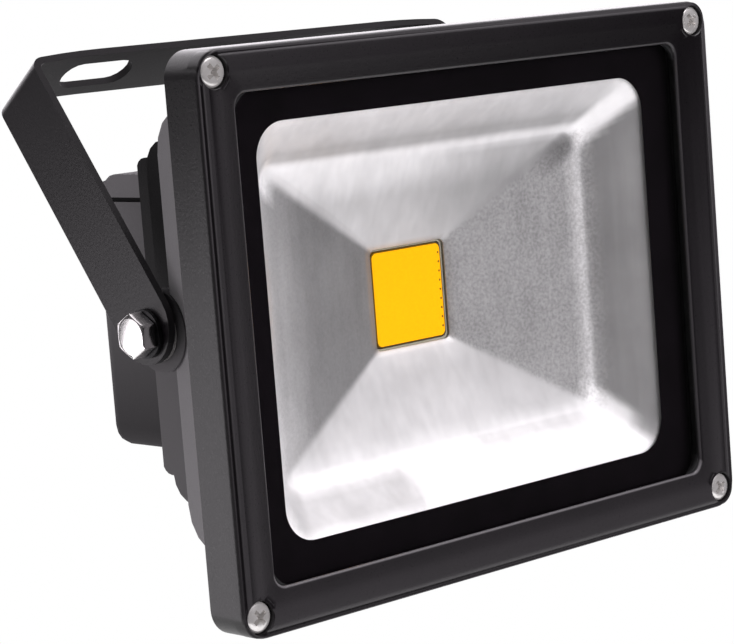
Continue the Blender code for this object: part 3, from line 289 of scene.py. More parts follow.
def clear_glass():
    """Toughened float glass with an anti-glare coat: quite clear, with a faint sharp reflection on
    its outer side that grows towards grazing views."""
    mat, tree, shader = new_surface("toughened_glass", metallic=1.0)
    set_inputs(shader, {
        "Base Color": linear("#F8F6F8"), "Roughness": between(tree, noise(tree, 30.0), 0.02, 0.05),
    })
    clear = add_node(tree, "ShaderNodeBsdfTransparent", {"Color": (0.963, 0.963, 0.963, 1)})
    gloss = add_node(tree, "ShaderNodeFresnel", {"IOR": 1.28}).outputs["Fac"]
    shadow = add_node(tree, "ShaderNodeLightPath").outputs["Is Shadow Ray"]
    inner_side = add_node(tree, "ShaderNodeNewGeometry").outputs["Backfacing"]
    outside = maths(tree, "SUBTRACT", 1.0, maths(tree, "MAXIMUM", shadow, inner_side))
    show(tree, add_node(tree, "ShaderNodeMixShader", {
        "Fac": maths(tree, "MULTIPLY", gloss, outside), 1: clear.outputs["BSDF"], 2: shader.outputs["BSDF"],
    }))
    return mat


def reflector_metal():
    """Pressed satin aluminium, anodised: soft grey with part of its light scattered. The side slopes
    keep a hammered stipple of about 1 mm, and faint press lines run down towards the LED. Its colour
    carries painted light and shade kept on its points, standing in for its reflections."""
    mat, tree, shader = new_surface("satin_aluminium_sheet", metallic=0.3)
    stipple = attribute(tree, "stipple")
    hammer = add_node(tree, "ShaderNodeTexVoronoi", {
        "Vector": object_place(tree), "Scale": 1 / (1.15 * MM),
    }, feature="SMOOTH_F1").outputs["Distance"]
    grit = noise(tree, 0.8, 3.0)
    cloud = noise(tree, 16.0, 3.0)
    streaks = noise(tree, 3.2, 3.0, (1, 1, 0.12))
    level = maths(tree, "MULTIPLY", between(tree, cloud, 0.9, 1.08), between(tree, streaks, 0.94, 1.05))
    speck = maths(tree, "MULTIPLY", between(tree, grit, -0.2, 0.2), stipple)
    # Painted light and shade from the sheet's points, standing in for its reflections.
    level = maths(tree, "MULTIPLY", maths(tree, "ADD", level, speck), attribute(tree, "painted_lighting"))
    set_inputs(shader, {
        "Base Color": level, "Roughness": between(tree, grit, 0.32, 0.42),
        "Normal": bump(tree, hammer, 0.1, maths(tree, "MULTIPLY", stipple, 0.7)),
    })
    return mat


def phosphor():
    """Yellow phosphor powder in clear silicone: an even, saturated yellow with a soft skin."""
    mat, tree, shader = new_surface("phosphor_silicone", roughness=0.45)
    powder = noise(tree, 0.5, 3.0)
    colour = mix_colour(tree, between(tree, powder, 0, 1), "#FFAC00", "#FFB300")
    # Painted shade: a dark olive rim round the window, where the gap to the dam lies in shade.
    colour = mix_colour(tree, attribute(tree, "edge"), colour, "#6A5212")
    set_inputs(shader, {
        "Base Color": colour, "Emission Color": colour, "Emission Strength": 0.3, "Specular IOR Level": 0.2,
        "Normal": bump(tree, powder, 0.01),
    })
    return mat


def circuit_board():
    """Glass-fibre board: green solder mask over faint copper tracks 1 mm wide."""
    mat, tree, shader = new_surface("fibreglass_board", roughness=0.4)
    tracks = add_node(tree, "ShaderNodeTexBrick", {
        "Vector": object_place(tree), "Color1": linear("#2E7A40"), "Color2": linear("#35884A"),
        "Mortar": linear("#1F5A2E"), "Scale": 1 / (12 * MM), "Mortar Size": 0.04,
    })
    set_inputs(shader, {
        "Base Color": tracks.outputs["Color"], "Normal": bump(tree, tracks.outputs["Fac"], 0.03),
    })
    return mat


def fired_ink():
    """Ceramic ink fused to the back of the glass: deep black, with no gloss of its own there."""
    mat, tree, shader = new_surface("fired_ceramic_ink", roughness=0.6)
    colour = mottled(tree, 9.0, ("#0B090B", "#0F0C0F"), 2.0)
    set_inputs(shader, {"Base Color": colour, "Specular IOR Level": 0.03})
    return mat


def make_materials():
    """The materials by slot, and the finishes that some pieces have of their own."""
    cast = ("#070507", "#0B080B")
    satin = (0.27, 0.38)
    return {
        # Powder coat on the bezel's die casting: the blackest and smoothest.
        "cast_black": powder_coat("powder_coated_casting", cast, satin),
        # Powder coat on the finned casting: a little paler, and painted light low down lightens the painted
        # shade between the fins.
        "fins": powder_coat("powder_coated_fins", ("#0C090C", "#110E11"), satin, 0.4),
        # Powder coat on the driver cover: dull, with painted shade darkening it low down.
        "cover": powder_coat("powder_coated_cover", cast, satin, -0.3, (-30.0, 24.0)),
        # Powder coat on the steel strap: slightly rougher.
        "steel_black": powder_coat("powder_coated_strap", ("#120E12", "#171317"), (0.3, 0.4)),
        # Bright nickel on the small screws: pale grey, with part of its light scattered by wear.
        "zinc": bright_plating("bright_nickel_plate", ("#D8D6D3", "#ECEAE8"), (0.15, 0.26)),
        # Bright zinc on the pivot bolts: nearly white and mirror-like.
        "bolt_plate": bright_plating("bright_zinc_plate", ("#EFEDEC", "#FBF9F8"), (0.1, 0.22), 1.0),
        # Black oxide on the spring steel washers: dark, with a low sheen.
        "steel_dark": bright_plating("black_oxide_steel", ("#1D1D1F", "#2A2A2C"), (0.3, 0.45)),
        "glass": clear_glass(),
        # Silicone rubber: moulded, matt, with a faint bloom.
        "rubber": grained("silicone_rubber", ("#161617", "#1D1D1E"), (0.6, 0.75), 0.5, 0.02),
        "satin_aluminium": reflector_metal(),
        # Stamped bare aluminium: brushed along its width.
        "bare_aluminium": grained("brushed_aluminium", ("#C9CACC", "#D6D7D8"), (0.3, 0.42), 0.6, 0.01,
                                  1.0, 10.0, (0.1, 1, 1)),
        # Ceramic-filled silicone pad: dull and slightly mottled.
        "pad_grey": grained("thermal_silicone", ("#8F9196", "#A3A5AA"), (0.7, 0.85), 0.8, 0.03),
        # White silicone dam: smooth and a little glossy.
        "white": grained("white_silicone", ("#E9E9E4", "#F4F4F0"), (0.35, 0.5), 0.6, 0.01),
        "phosphor": phosphor(),
        # Bond pads under the silicone: dull amber brown.
        "bond": grained("bond_pads", ("#5E440A", "#74560E"), (0.5, 0.6), 0.4, 0.004),
        # Silicone dam: white silicone painted a darker greyish olive, as painted shade beside the phosphor
        # window.
        "dam": grained("dam_silicone_painted_shade", ("#9A9884", "#ACAA98"), (0.35, 0.5), 0.6, 0.005),
        # Rolled copper: bright with darker tarnish.
        "copper": grained("rolled_copper", ("#C98B62", "#DDA37C"), (0.25, 0.4), 0.7, 0.01, 1.0, 6.0),
        # Turned brass: fine rings left by the lathe.
        "brass": grained("turned_brass", ("#CDB16A", "#DCC383"), (0.2, 0.35), 0.5, 0.01, 1.0, 5.0, (1, 6, 1)),
        "board_green": circuit_board(),
        # Polyester winding tape: glossy yellow film.
        "tape_yellow": grained("polyester_tape", ("#D9C23E", "#E3CE4E"), (0.2, 0.35), 3.0, 0.03),
        # Shrink sleeve: black, glossy and slightly wavy.
        "sleeve_black": grained("shrink_sleeve", ("#1B1B1E", "#242428"), (0.22, 0.35), 2.0, 0.03),
        # Cable insulation: soft red and black silicone.
        "lead_red": grained("red_insulation", ("#A01618", "#B51C1E"), (0.4, 0.55), 0.7, 0.01),
        "lead_black": grained("black_insulation", ("#141415", "#1C1C1D"), (0.4, 0.55), 0.7, 0.01),
        # Moulded nylon: dark with a fine spark-eroded grain.
        "nylon_black": grained("moulded_nylon", ("#1C1C1D", "#252526"), (0.45, 0.6), 0.35, 0.02),
        "ink": fired_ink(),
    }


def in_head(x, depth, z):
    """A point of the lamp head, in mm from the bezel's front plane, placed in the row frame."""
    return (HEAD_ORIGIN + Vector((x, depth, z))) * MM


def add_object(name, data):
    """A new object in the scene."""
    obj = bpy.data.objects.new(name, data)
    bpy.context.scene.collection.objects.link(obj)
    return obj


def add_mesh(name, bm, mat):
    """Turn a bmesh in metres into an object."""
    mesh = bpy.data.meshes.new(name)
    bm.to_mesh(mesh)
    bm.free()
    mesh.materials.append(mat)
    return add_object(name, mesh)


def finish_mesh(name, bm, mat, sharp_angle=40.0):
    """Turn a bmesh into an object with its points merged, smooth but for its sharper edges."""
    bmesh.ops.remove_doubles(bm, verts=bm.verts, dist=0.002 * MM)
    bmesh.ops.recalc_face_normals(bm, faces=bm.faces)
    obj = add_mesh(name, bm, mat)
    shade(obj.data, sharp_angle)
    return obj


def shade(mesh, sharp_angle):
    """Shade smooth, with edges sharper than an angle kept sharp."""
    mesh.polygons.foreach_set("use_smooth", [True] * len(mesh.polygons))
    mesh.set_sharp_from_angle(angle=math.radians(sharp_angle))
    mesh.update()


def baked(obj):
    """Apply an object's modifiers and return it with a plain mesh."""
    bpy.context.view_layer.update()
    graph = bpy.context.evaluated_depsgraph_get()
    mesh = bpy.data.meshes.new_from_object(obj.evaluated_get(graph))
    old = obj.data
    obj.modifiers.clear()
    obj.data = mesh
    bpy.data.meshes.remove(old)
    return obj


def boolean(obj, other, operation):
    """Join, cut or intersect an object with another, which is used up."""
    modifier = obj.modifiers.new(operation, "BOOLEAN")
    modifier.operation = operation
    modifier.solver = "EXACT"
    modifier.object = other
    baked(obj)
    bpy.data.objects.remove(other)


def softened(name, node, mat, width_mm, before=None, after=None):
    """A merged copy of a CAD node with its edges rounded as a die or a press leaves them. Shaping
    functions may work on the copy before and after its flat faces are joined."""
    bm = bmesh.new()
    bm.from_mesh(NODES[node].data)
    bmesh.ops.remove_doubles(bm, verts=bm.verts, dist=0.002 * MM)
    if before:
        before(bm)
    bmesh.ops.dissolve_limit(bm, angle_limit=math.radians(0.6), verts=bm.verts, edges=bm.edges)
    if after:
        after(bm)
    obj = add_mesh(name, bm, mat)
    rounding = obj.modifiers.new("rounding", "BEVEL")
    rounding.width = width_mm * MM
    rounding.segments = 2
    rounding.limit_method = "ANGLE"
    rounding.angle_limit = math.radians(30)
    rounding.use_clamp_overlap = True
    baked(obj)
    shade(obj.data, 35.0)
    level = obj.modifiers.new("level_faces", "WEIGHTED_NORMAL")
    level.weight = 100
    level.keep_sharp = True
    return baked(obj)


def loop_points(half, radius, steps, straights=1):
    """A rounded rectangle's outline: four corner arcs and the straights between, anticlockwise."""
    arcs = []
    for number, (sx, sz) in enumerate(((1, 1), (-1, 1), (-1, -1), (1, -1))):
        centre = (sx * (half[0] - radius), sz * (half[1] - radius))
        turns = [math.radians(90 * (number + i / steps)) for i in range(steps + 1)]
        arcs.append([(centre[0] + radius * math.cos(a), centre[1] + radius * math.sin(a)) for a in turns])
    points = []
    for arc, following in zip(arcs, arcs[1:] + arcs[:1]):
        points += arc
        (x0, z0), (x1, z1) = arc[-1], following[0]
        for i in range(1, straights):
            points.append((x0 + (x1 - x0) * i / straights, z0 + (z1 - z0) * i / straights))
    return points


def loft(bm, stations, steps, closed, straights=1):
    """Bridge rounded rectangles given as (half, radius, depth)."""
    rings = []
    for half, radius, depth in stations:
        outline = loop_points(half, radius, steps, straights)
        rings.append([bm.verts.new(in_head(x, depth, z)) for x, z in outline])
    pairs = list(zip(rings, rings[1:]))
    if closed:
        pairs.append((rings[-1], rings[0]))
    for outer, inner in pairs:
        for i in range(len(outer)):
            j = (i + 1) % len(outer)
            bm.faces.new((outer[i], outer[j], inner[j], inner[i]))


def spin(name, profile, mat, steps=48):
    """Turn a closed (radius, height) profile in mm about +Z at the origin."""
    bm = bmesh.new()
    verts = [bm.verts.new((r * MM, 0, h * MM)) for r, h in profile]
    edges = [bm.edges.new(pair) for pair in zip(verts, verts[1:])]
    bmesh.ops.spin(bm, geom=verts + edges, cent=(0, 0, 0), axis=(0, 0, 1), angle=2 * math.pi,
                   steps=steps, use_merge=True, use_duplicate=False)
    return finish_mesh(name, bm, mat, 35.0)


def moved(obj, matrix):
    """Move an object's mesh by a matrix."""
    obj.data.transform(matrix)
    obj.data.update()
    return obj


def smooth_step(low, high, value):
    """A share that eases from 0 at low to 1 at high."""
    share = min(max((value - low) / (high - low), 0.0), 1.0)
    return share * share * (3 - 2 * share)


def faded(spans, value):
    """A share that fades in, and may fade out again, over its spans."""
    return math.prod(smooth_step(start, stop, value) for start, stop in spans)


def aim(place, axis):
    """Matrix that puts a piece drawn up +Z at a place in mm, pointing along an axis."""
    turn = Vector(axis).to_track_quat("Z", "Y").to_matrix().to_4x4()
    return Matrix.Translation(Vector(place) * MM) @ turn


def bezel_stations():
    """The bezel's section as rounded rectangles, from its back round the front and inside again."""
    reach = (BEZEL_HALF[0] - OPENING_HALF[0], BEZEL_HALF[1] - OPENING_HALF[1])
    stations = []
    for inset, depth in BEZEL_SECTION:
        share = inset / reach[0]
        half = (BEZEL_HALF[0] - inset, BEZEL_HALF[1] - reach[1] * share)
        stations.append((half, BEZEL_CORNER + (OPENING_CORNER - BEZEL_CORNER) * share, depth))
    seat, wall = (83.2, 64.2), (88.4, 68.4)
    seat_corner, wall_corner = 11.5, 4.5
    seat_front, seat_back = 2.0, 8.3
    stations += [(seat, seat_corner, seat_front), (seat, seat_corner, seat_back)]
    stations += [(wall, wall_corner, seat_back), (wall, wall_corner, BEZEL_DEPTH)]
    return stations


def bezel_painted_light(inset, point):
    """Painted light on the bezel: highlights on its lip and along its top edge, and a lighter band low down
    and on its left.
    """
    low_down = point.z < BOTTOM_BAND
    if point.z > TOP_BAND and OUTER_EDGE_INSETS[0] < inset < OUTER_EDGE_INSETS[1]:
        return 0.08
    if LIP_INSETS[0] < inset < LIP_INSETS[1]:
        return 0.2 if low_down else 0.06
    lift = 0.048 if low_down else 0.03 if point.x < LEFT_BAND else 0.0
    outwards = smooth_step(10.0, 5.0, inset) if inset > GROOVE_INSETS[1] else 0.0
    return lift * (0.45 + 0.55 * outwards)


def make_bezel(mats):
    """The die-cast front frame: a fine parting groove on its left side, a flat outer band, a slope
    down to the glass and a boss at each screw."""
    bm = bmesh.new()
    corner_steps = 10
    loft(bm, bezel_stations(), corner_steps, True)
    bm.verts.ensure_lookup_table()
    pale_and_lit = bm.verts.layers.float.new("pale_and_painted_light")
    dull_dark_and_painted_shade = bm.verts.layers.float.new("dull_dark_and_painted_shade")
    per_ring = 4 * (corner_steps + 1)
    for number, vert in enumerate(bm.verts):
        inset = BEZEL_SECTION[min(number // per_ring, len(BEZEL_SECTION) - 1)][0]
        point = vert.co / MM - HEAD_ORIGIN
        # Painted highlights and painted light on the bezel's faces.
        vert[pale_and_lit] = bezel_painted_light(inset, point)
        # Painted shade darkens the groove on the left side; away from the left it is filled in.
        if GROOVE_INSETS[0] < inset < GROOVE_INSETS[1]:
            left = smooth_step(*GROOVE_ENDS, point.x)
            vert[dull_dark_and_painted_shade] = left
            vert.co.y += (GROOVE_FILLED - point.y) * (1 - left) * MM
    bezel = finish_mesh("bezel_casting", bm, mats["cast_black"])
    for sx, sz in ((-1, 1), (1, 1), (1, -1), (-1, -1)):
        x, z = sx * SCREW_PLACE[0], sz * SCREW_PLACE[1]
        boss = spin("boss", BOSS_PROFILE, mats["cast_black"])
        moved(boss, aim(HEAD_ORIGIN + Vector((x, BOSS_DEPTH, z)), (0, -1, 0)))
        boolean(bezel, boss, "UNION")
        pocket = spin("pocket", POCKET_PROFILE, mats["cast_black"])
        moved(pocket, aim(HEAD_ORIGIN + Vector((x, 0, z)), (0, -1, 0)))
        boolean(bezel, pocket, "DIFFERENCE")
    shade(bezel.data, 30.0)
    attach(bezel, "head")
    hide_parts("front_bezel")


def cross_recess_screw(name, radius, height, shank_radius, shank_length, mat):
    """A pan head with a tapered cross sunk into it, its top at the origin, pointing up +Z."""
    head = (
        (0, 0), (0.4, 0.02), (0.62, 0.06), (0.8, 0.14), (0.9, 0.23), (0.97, 0.36),
        (1, 0.5), (1, 0.85), (0.96, 1),
    )
    tip = -height - shank_length
    profile = [(radius * r, -height * h) for r, h in head]
    profile += [(shank_radius, -height), (shank_radius, tip + 0.6), (shank_radius - 0.5, tip), (0, tip)]
    screw = spin(name, profile, mat)
    for turn in (0, 90):
        bm = bmesh.new()
        bmesh.ops.create_cube(bm, size=2.0)
        for vert in bm.verts:
            low = vert.co.z < 0
            reach = radius * (0.3 if low else 0.62)
            width = radius * (0.1 if low else 0.17)
            vert.co = Vector((vert.co.x * reach, vert.co.y * width, -height * 0.75 if low else 0.4)) * MM
        bmesh.ops.rotate(bm, verts=bm.verts, matrix=Matrix.Rotation(math.radians(turn), 3, "Z"))
        wing = finish_mesh("wing", bm, mat)
        boolean(screw, wing, "DIFFERENCE")
    shade(screw.data, 30.0)
    # Painted shade on the faces inside the cross.
    painted_recess_shade = screw.data.attributes.new("painted_recess_shade", "FLOAT", "FACE")
    for face, entry in zip(screw.data.polygons, painted_recess_shade.data):
        x, y, z = face.center / MM
        entry.value = 0.1 if math.hypot(x, y) < radius * 0.62 and -height < z < -0.25 else 0.0
    return screw


def instances(name, master, build, mat, inputs):
    """Run a Geometry Nodes tree that places copies of a master piece, and keep its plain mesh."""
    tree = bpy.data.node_groups.new(name + "_layout", "GeometryNodeTree")
    tree.interface.new_socket("Geometry", in_out="OUTPUT", socket_type="NodeSocketGeometry")
    sockets = {}
    for label, value in inputs.items():
        kind = {int: "NodeSocketInt", float: "NodeSocketFloat"}.get(type(value), "NodeSocketVector")
        sockets[label] = tree.interface.new_socket(label, in_out="INPUT", socket_type=kind)
    given = add_node(tree, "NodeGroupInput")
    result = add_node(tree, "NodeGroupOutput")
    source = add_node(tree, "GeometryNodeObjectInfo", {"Object": master}, transform_space="ORIGINAL")
    placed = build(tree, given, source.outputs["Geometry"])
    real = add_node(tree, "GeometryNodeRealizeInstances", {"Geometry": placed}).outputs[0]
    painted = add_node(tree, "GeometryNodeSetMaterial", {"Geometry": real, "Material": mat})
    set_inputs(result, {"Geometry": painted.outputs["Geometry"]})
    obj = add_object(name, bpy.data.meshes.new(name))
    modifier = obj.modifiers.new("layout", "NODES")
    modifier.node_group = tree
    for label, value in inputs.items():
        modifier[sockets[label].identifier] = value
    baked(obj)
    bpy.data.objects.remove(master)
    return obj


def at_corners(tree, given, source):
    """Put the master on the four corners of an upright rectangle."""
    grid = add_node(tree, "GeometryNodeMeshGrid", {
        "Size X": given.outputs["Width"], "Size Y": given.outputs["Height"],
        "Vertices X": 2, "Vertices Y": 2,
    })
    upright = add_node(tree, "GeometryNodeTransform", {
        "Geometry": grid.outputs["Mesh"], "Translation": given.outputs["Centre"],
        "Rotation": (math.pi / 2, 0, 0),
    })
    return add_node(tree, "GeometryNodeInstanceOnPoints", {
        "Points": upright.outputs["Geometry"], "Instance": source, "Rotation": given.outputs["Turn"],
    }).outputs["Instances"]


def in_a_row(tree, given, source):
    """Put the master in an upright row from a starting point."""
    step = add_node(tree, "ShaderNodeCombineXYZ", {"Z": given.outputs["Pitch"]})
    row = add_node(tree, "GeometryNodeMeshLine", {
        "Count": given.outputs["Count"], "Start Location": given.outputs["Start"], "Offset": step.outputs[0],
    })
    return add_node(tree, "GeometryNodeInstanceOnPoints", {
        "Points": row.outputs["Mesh"], "Instance": source, "Rotation": given.outputs["Turn"],
    }).outputs["Instances"]


def around_axis(tree, given, source):
    """Repeat the master round the +Z axis at even angles."""
    line = add_node(tree, "GeometryNodeMeshLine", {"Count": given.outputs["Count"], "Offset": (0, 0, 0)})
    index = add_node(tree, "GeometryNodeInputIndex").outputs["Index"]
    step = maths(tree, "DIVIDE", 2 * math.pi, given.outputs["Count"])
    turn = add_node(tree, "ShaderNodeCombineXYZ", {"Z": maths(tree, "MULTIPLY", index, step)})
    return add_node(tree, "GeometryNodeInstanceOnPoints", {
        "Points": line.outputs["Mesh"], "Instance": source, "Rotation": turn.outputs["Vector"],
    }).outputs["Instances"]


def make_screws(mats):
    """The four bezel screws face forwards and the four cover screws face backwards."""
    front = cross_recess_screw("bezel_screw", radius=3.9, height=2.5, shank_radius=2.0, shank_length=10.7,
                               mat=mats["zinc"])
    moved(front, Matrix.Rotation(math.radians(38), 4, "Z"))
    screws = instances("bezel_screw_set", front, at_corners, mats["zinc"], {
        "Width": 2 * SCREW_PLACE[0] * MM, "Height": 2 * SCREW_PLACE[1] * MM,
        "Centre": (0.0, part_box("bezel_screw_1")[0].y, HEAD_ORIGIN.z * MM), "Turn": (math.pi / 2, 0, 0),
    })
    shade(screws.data, 30.0)
    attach(screws, "head")
    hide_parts(*[f"bezel_screw_{i}" for i in range(1, 5)])
    low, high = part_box("cover_screw_1")
    middle = (low + high) / 2
    rear = cross_recess_screw("cover_screw", radius=3.0, height=2.1, shank_radius=1.6, shank_length=36.0,
                              mat=mats["zinc"])
    screws = instances("cover_screw_set", rear, at_corners, mats["zinc"], {
        "Width": 2 * abs(middle.x), "Height": 2 * abs(middle.z - HEAD_ORIGIN.z * MM),
        "Centre": (0.0, high.y, HEAD_ORIGIN.z * MM), "Turn": (-math.pi / 2, 0, 0),
    })
    shade(screws.data, 30.0)
    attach(screws, "head")
    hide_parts(*[f"cover_screw_{i}" for i in range(1, 5)])


def make_printed_border(mats):
    """Black ink on the back of the glass, with a rounded clear window."""
    outer_half, outer_corner, window_corner = (80.0, 61.0), 1.0, 9.0
    near, far = 6.53, 6.62
    bm = bmesh.new()
    loft(bm, (
        (outer_half, outer_corner, near), (APERTURE_HALF, window_corner, near),
        (APERTURE_HALF, window_corner, far), (outer_half, outer_corner, far),
    ), 12, True)
    border = finish_mesh("printed_border", bm, mats["ink"])
    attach(border, "head")


# Painted light and shade on each side of the pressed sheet, standing in for its reflections, from its rim (0)
# by the crease (1) to the LED (2)
SHEET_PAINTED_LIGHT = {
    "top": (
        (0.0, 1.0), (0.13, 1.0), (0.18, 0.9), (0.5, 0.8), (0.84, 0.53), (0.98, 1.06), (1.12, 0.95),
        (1.5, 0.62), (2.0, 0.7),
    ),
    "left": ((0.0, 0.66), (0.9, 0.52), (1.05, 0.46), (1.4, 0.29), (2.0, 0.27)),
    "right": ((0.0, 0.4), (0.8, 0.335), (0.92, 0.42), (0.98, 0.7), (1.04, 0.64), (1.1, 0.42), (2.0, 0.4)),
    "bottom": ((0.0, 1.06), (0.7, 1.06), (1.0, 1.06), (1.25, 0.81), (1.7, 0.71), (2.0, 0.86)),
}

# Painted light and shade patches of each side: how much lighter or darker, the spans along the side in mm
# over which the patch fades in and out, and the same from rim to LED
SHEET_PAINTED_PATCHES = {
    "top": ((-0.44, ((-15, 45),), ((1.0, 1.12),)),),
    "left": ((0.32, ((0, -32),), ((1.8, 1.0),)), (-0.16, ((5, 30),), ((0.9, 1.1),))),
    "right": (),
    "bottom": (
        (-0.38, ((-64, -61), (-18, -20.5)), ((0.04, 0.2), (0.8, 0.72))),
        (-0.14, ((5, 40),), ((1.0, 1.15),)),
        (-0.16, ((0, 18), (54, 46)), ((0.78, 0.88), (1.0, 0.95))),
    ),
}

# Painted highlights and shade along the corners' folds: the level of painted light that a line tends to, how
# far, and its spans from rim to LED; then how far past the fold they lie, in mm, and over what distance they
# fade
PAINTED_FOLD_LINES = {
    ("right", "top"): ((1.25, 1.0, ((1.02, 0.9),)), (0.0, 0.5, ((1.0, 1.05), (1.35, 1.1)))),
    ("right", "bottom"): ((1.1, 1.0, ((0.2, 0.6), (1.1, 1.0))),),
    ("left", "top"): ((1.0, 1.0, ((0.8, 0.92), (1.12, 1.02))),),
}
FOLD_OFFSET = 1.5
FOLD_REACH = (6.5, 2.5)


def side_painted_lighting(side, along, place):
    """Painted light and shade of one side, blended smoothly between its marks and changed by its painted
    patches.
    """
    marks = SHEET_PAINTED_LIGHT[side]
    painted_lighting = marks[-1][1]
    for (start, first), (stop, second) in zip(marks, marks[1:]):
        if place <= stop:
            painted_lighting = first + (second - first) * smooth_step(start, stop, place)
            break
    for change, spans, places in SHEET_PAINTED_PATCHES[side]:
        painted_lighting *= 1 + change * faded(spans, along) * faded(places, place)
    return painted_lighting


def sheet_painted_lighting(point, place, past_fold, sideways):
    """Painted light and shade of the sheet at a point in mm from the bezel's centre, with painted highlights
    and shade along the folds. Past_fold is its distance from the corner's fold in mm, and sideways its share
    of the left or right side."""
    side = "right" if point.x > 0 else "left"
    end = "top" if point.z > 0 else "bottom"
    painted_lighting = side_painted_lighting(end, point.x, place)
    painted_lighting += (side_painted_lighting(side, point.z, place) - painted_lighting) * sideways
    near = smooth_step(*FOLD_REACH, abs(past_fold - FOLD_OFFSET))
    for target, strength, places in PAINTED_FOLD_LINES.get((side, end), ()):
        painted_lighting += (target - painted_lighting) * strength * near * faded(places, place)
    return painted_lighting


def blend(first, second, share):
    """A rounded rectangle between two others, each given as half size, corner radius and depth."""
    half = tuple(a + (b - a) * share for a, b in zip(first[0], second[0]))
    return half, first[1] + (second[1] - first[1]) * share, first[2] + (second[2] - first[2]) * share


def sheet_stations():
    """The sheet's section with soft folds, each station with its place from rim (0) to LED (2)."""
    rim = ((75.0, 57.4), 13.0, RIM_DEPTH)
    mouth = (MOUTH_HALF, 11.0, RIM_DEPTH)
    crease = (CREASE_HALF, 4.5, CREASE_DEPTH)
    window = ((WINDOW_HALF, WINDOW_HALF), 1.8, WINDOW_DEPTH)
    bend_before, bend_after = 0.13, 0.06
    slope_steps = 14
    bulge = 1.2
    stations = [(rim, 0.0), (blend(mouth, rim, 0.12), 0.0), (blend(mouth, crease, 0.04), 0.04)]
    stations += [(blend(mouth, crease, i / 8), i / 8) for i in range(1, 7)]
    for i in range(9):
        t = i / 8
        before = blend(crease, mouth, bend_before * (1 - t))
        after = blend(crease, window, bend_after * t)
        place = 1 - bend_before + (bend_before + bend_after) * t
        stations.append((blend(before, after, t), place))
    for i in range(1, slope_steps + 1):
        share = bend_after + (1 - bend_after) * i / slope_steps
        half, radius, depth = blend(crease, window, share)
        stations.append(((half, radius + bulge * math.sin(math.pi * share), depth), 1 + share))
    lip_half = WINDOW_HALF - 0.15
    stations.append((((lip_half, lip_half), 1.6, WINDOW_DEPTH + 0.45), 2.0))
    return stations


def make_reflector(mats):
    """The pressed sheet, lofted with soft folds; its painted light and shade and its stipple are kept on its
    points.
    """
    stations = sheet_stations()
    corner_steps, straights = 10, 40
    bm = bmesh.new()
    loft(bm, [station for station, _ in stations], corner_steps, False, straights)
    per_ring = 4 * (corner_steps + straights)
    bm.verts.ensure_lookup_table()
    painted_lighting = bm.verts.layers.float.new("painted_lighting")
    stipple = bm.verts.layers.float.new("stipple")
    for number, (((half_x, half_z), radius, _), place) in enumerate(stations):
        soft = 0.6 + radius * 0.3
        for vert in bm.verts[number * per_ring:(number + 1) * per_ring]:
            point = vert.co / MM - HEAD_ORIGIN
            past_fold = (abs(point.x) - half_x) - (abs(point.z) - half_z)
            sideways = smooth_step(-soft, soft, past_fold)
            vert[painted_lighting] = sheet_painted_lighting(point, place, past_fold, sideways)
            vert[stipple] = sideways * smooth_step(0.6, 1.0, place) * (1.0 if point.x > 0 else 0.4)
    sheet = finish_mesh("reflector_sheet", bm, mats["satin_aluminium"], 70.0)
    shell = sheet.modifiers.new("sheet", "SOLIDIFY")
    shell.thickness = 0.6 * MM
    shell.offset = -1.0 if sheet.data.polygons[0].normal.y < 0 else 1.0
    baked(sheet)
    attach(sheet, "head")
    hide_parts("reflector")


def make_emitter(mats):
    """The phosphor window: a shallow pillow with a rim of painted shade, and bond dots beside its right edge.
    """
    low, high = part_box("led_emitter")
    half = (high.x - low.x) / 2 / MM
    front = low.y / MM - HEAD_ORIGIN.y
    # Inset and drop in mm, and the share of the rim's painted shade
    pillow = (
        (0.0, 0.9, 1.0), (0.0, 0.3, 1.0), (0.1, 0.16, 1.0), (0.22, 0.1, 1.0), (0.32, 0.08, 0.0),
        (1.4, 0.04, 0.0), (6.0, 0.03, 0.0),
    )
    bm = bmesh.new()
    stations = []
    for inset, drop, _ in pillow:
        stations.append(((half - inset, half - inset), max(1.8 - inset, 0.6), front + drop))
    loft(bm, stations, 8, False)
    bm.verts.ensure_lookup_table()
    edge = bm.verts.layers.float.new("edge")
    per_ring = len(bm.verts) // len(pillow)
    for number, vert in enumerate(bm.verts):
        vert[edge] = pillow[number // per_ring][2]
    bm.faces.new(bm.verts[-per_ring:])
    window = finish_mesh("phosphor_window", bm, mats["phosphor"], 50.0)
    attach(window, "head")
    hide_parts("led_emitter")
    dot = spin("dot", ((0, 0.0), (0.22, -0.01), (0.34, -0.05), (0.38, -0.12), (0, -0.12)), mats["bond"], 12)
    dots = instances("wire_bond_dots", dot, in_a_row, mats["bond"], {
        "Count": 9, "Pitch": 2.45 * MM, "Turn": (math.pi / 2, 0, 0),
        "Start": (high.x - 0.9 * MM, low.y + 0.01 * MM, (low.z + high.z) / 2 - 9.8 * MM),
    })
    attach(dots, "head")


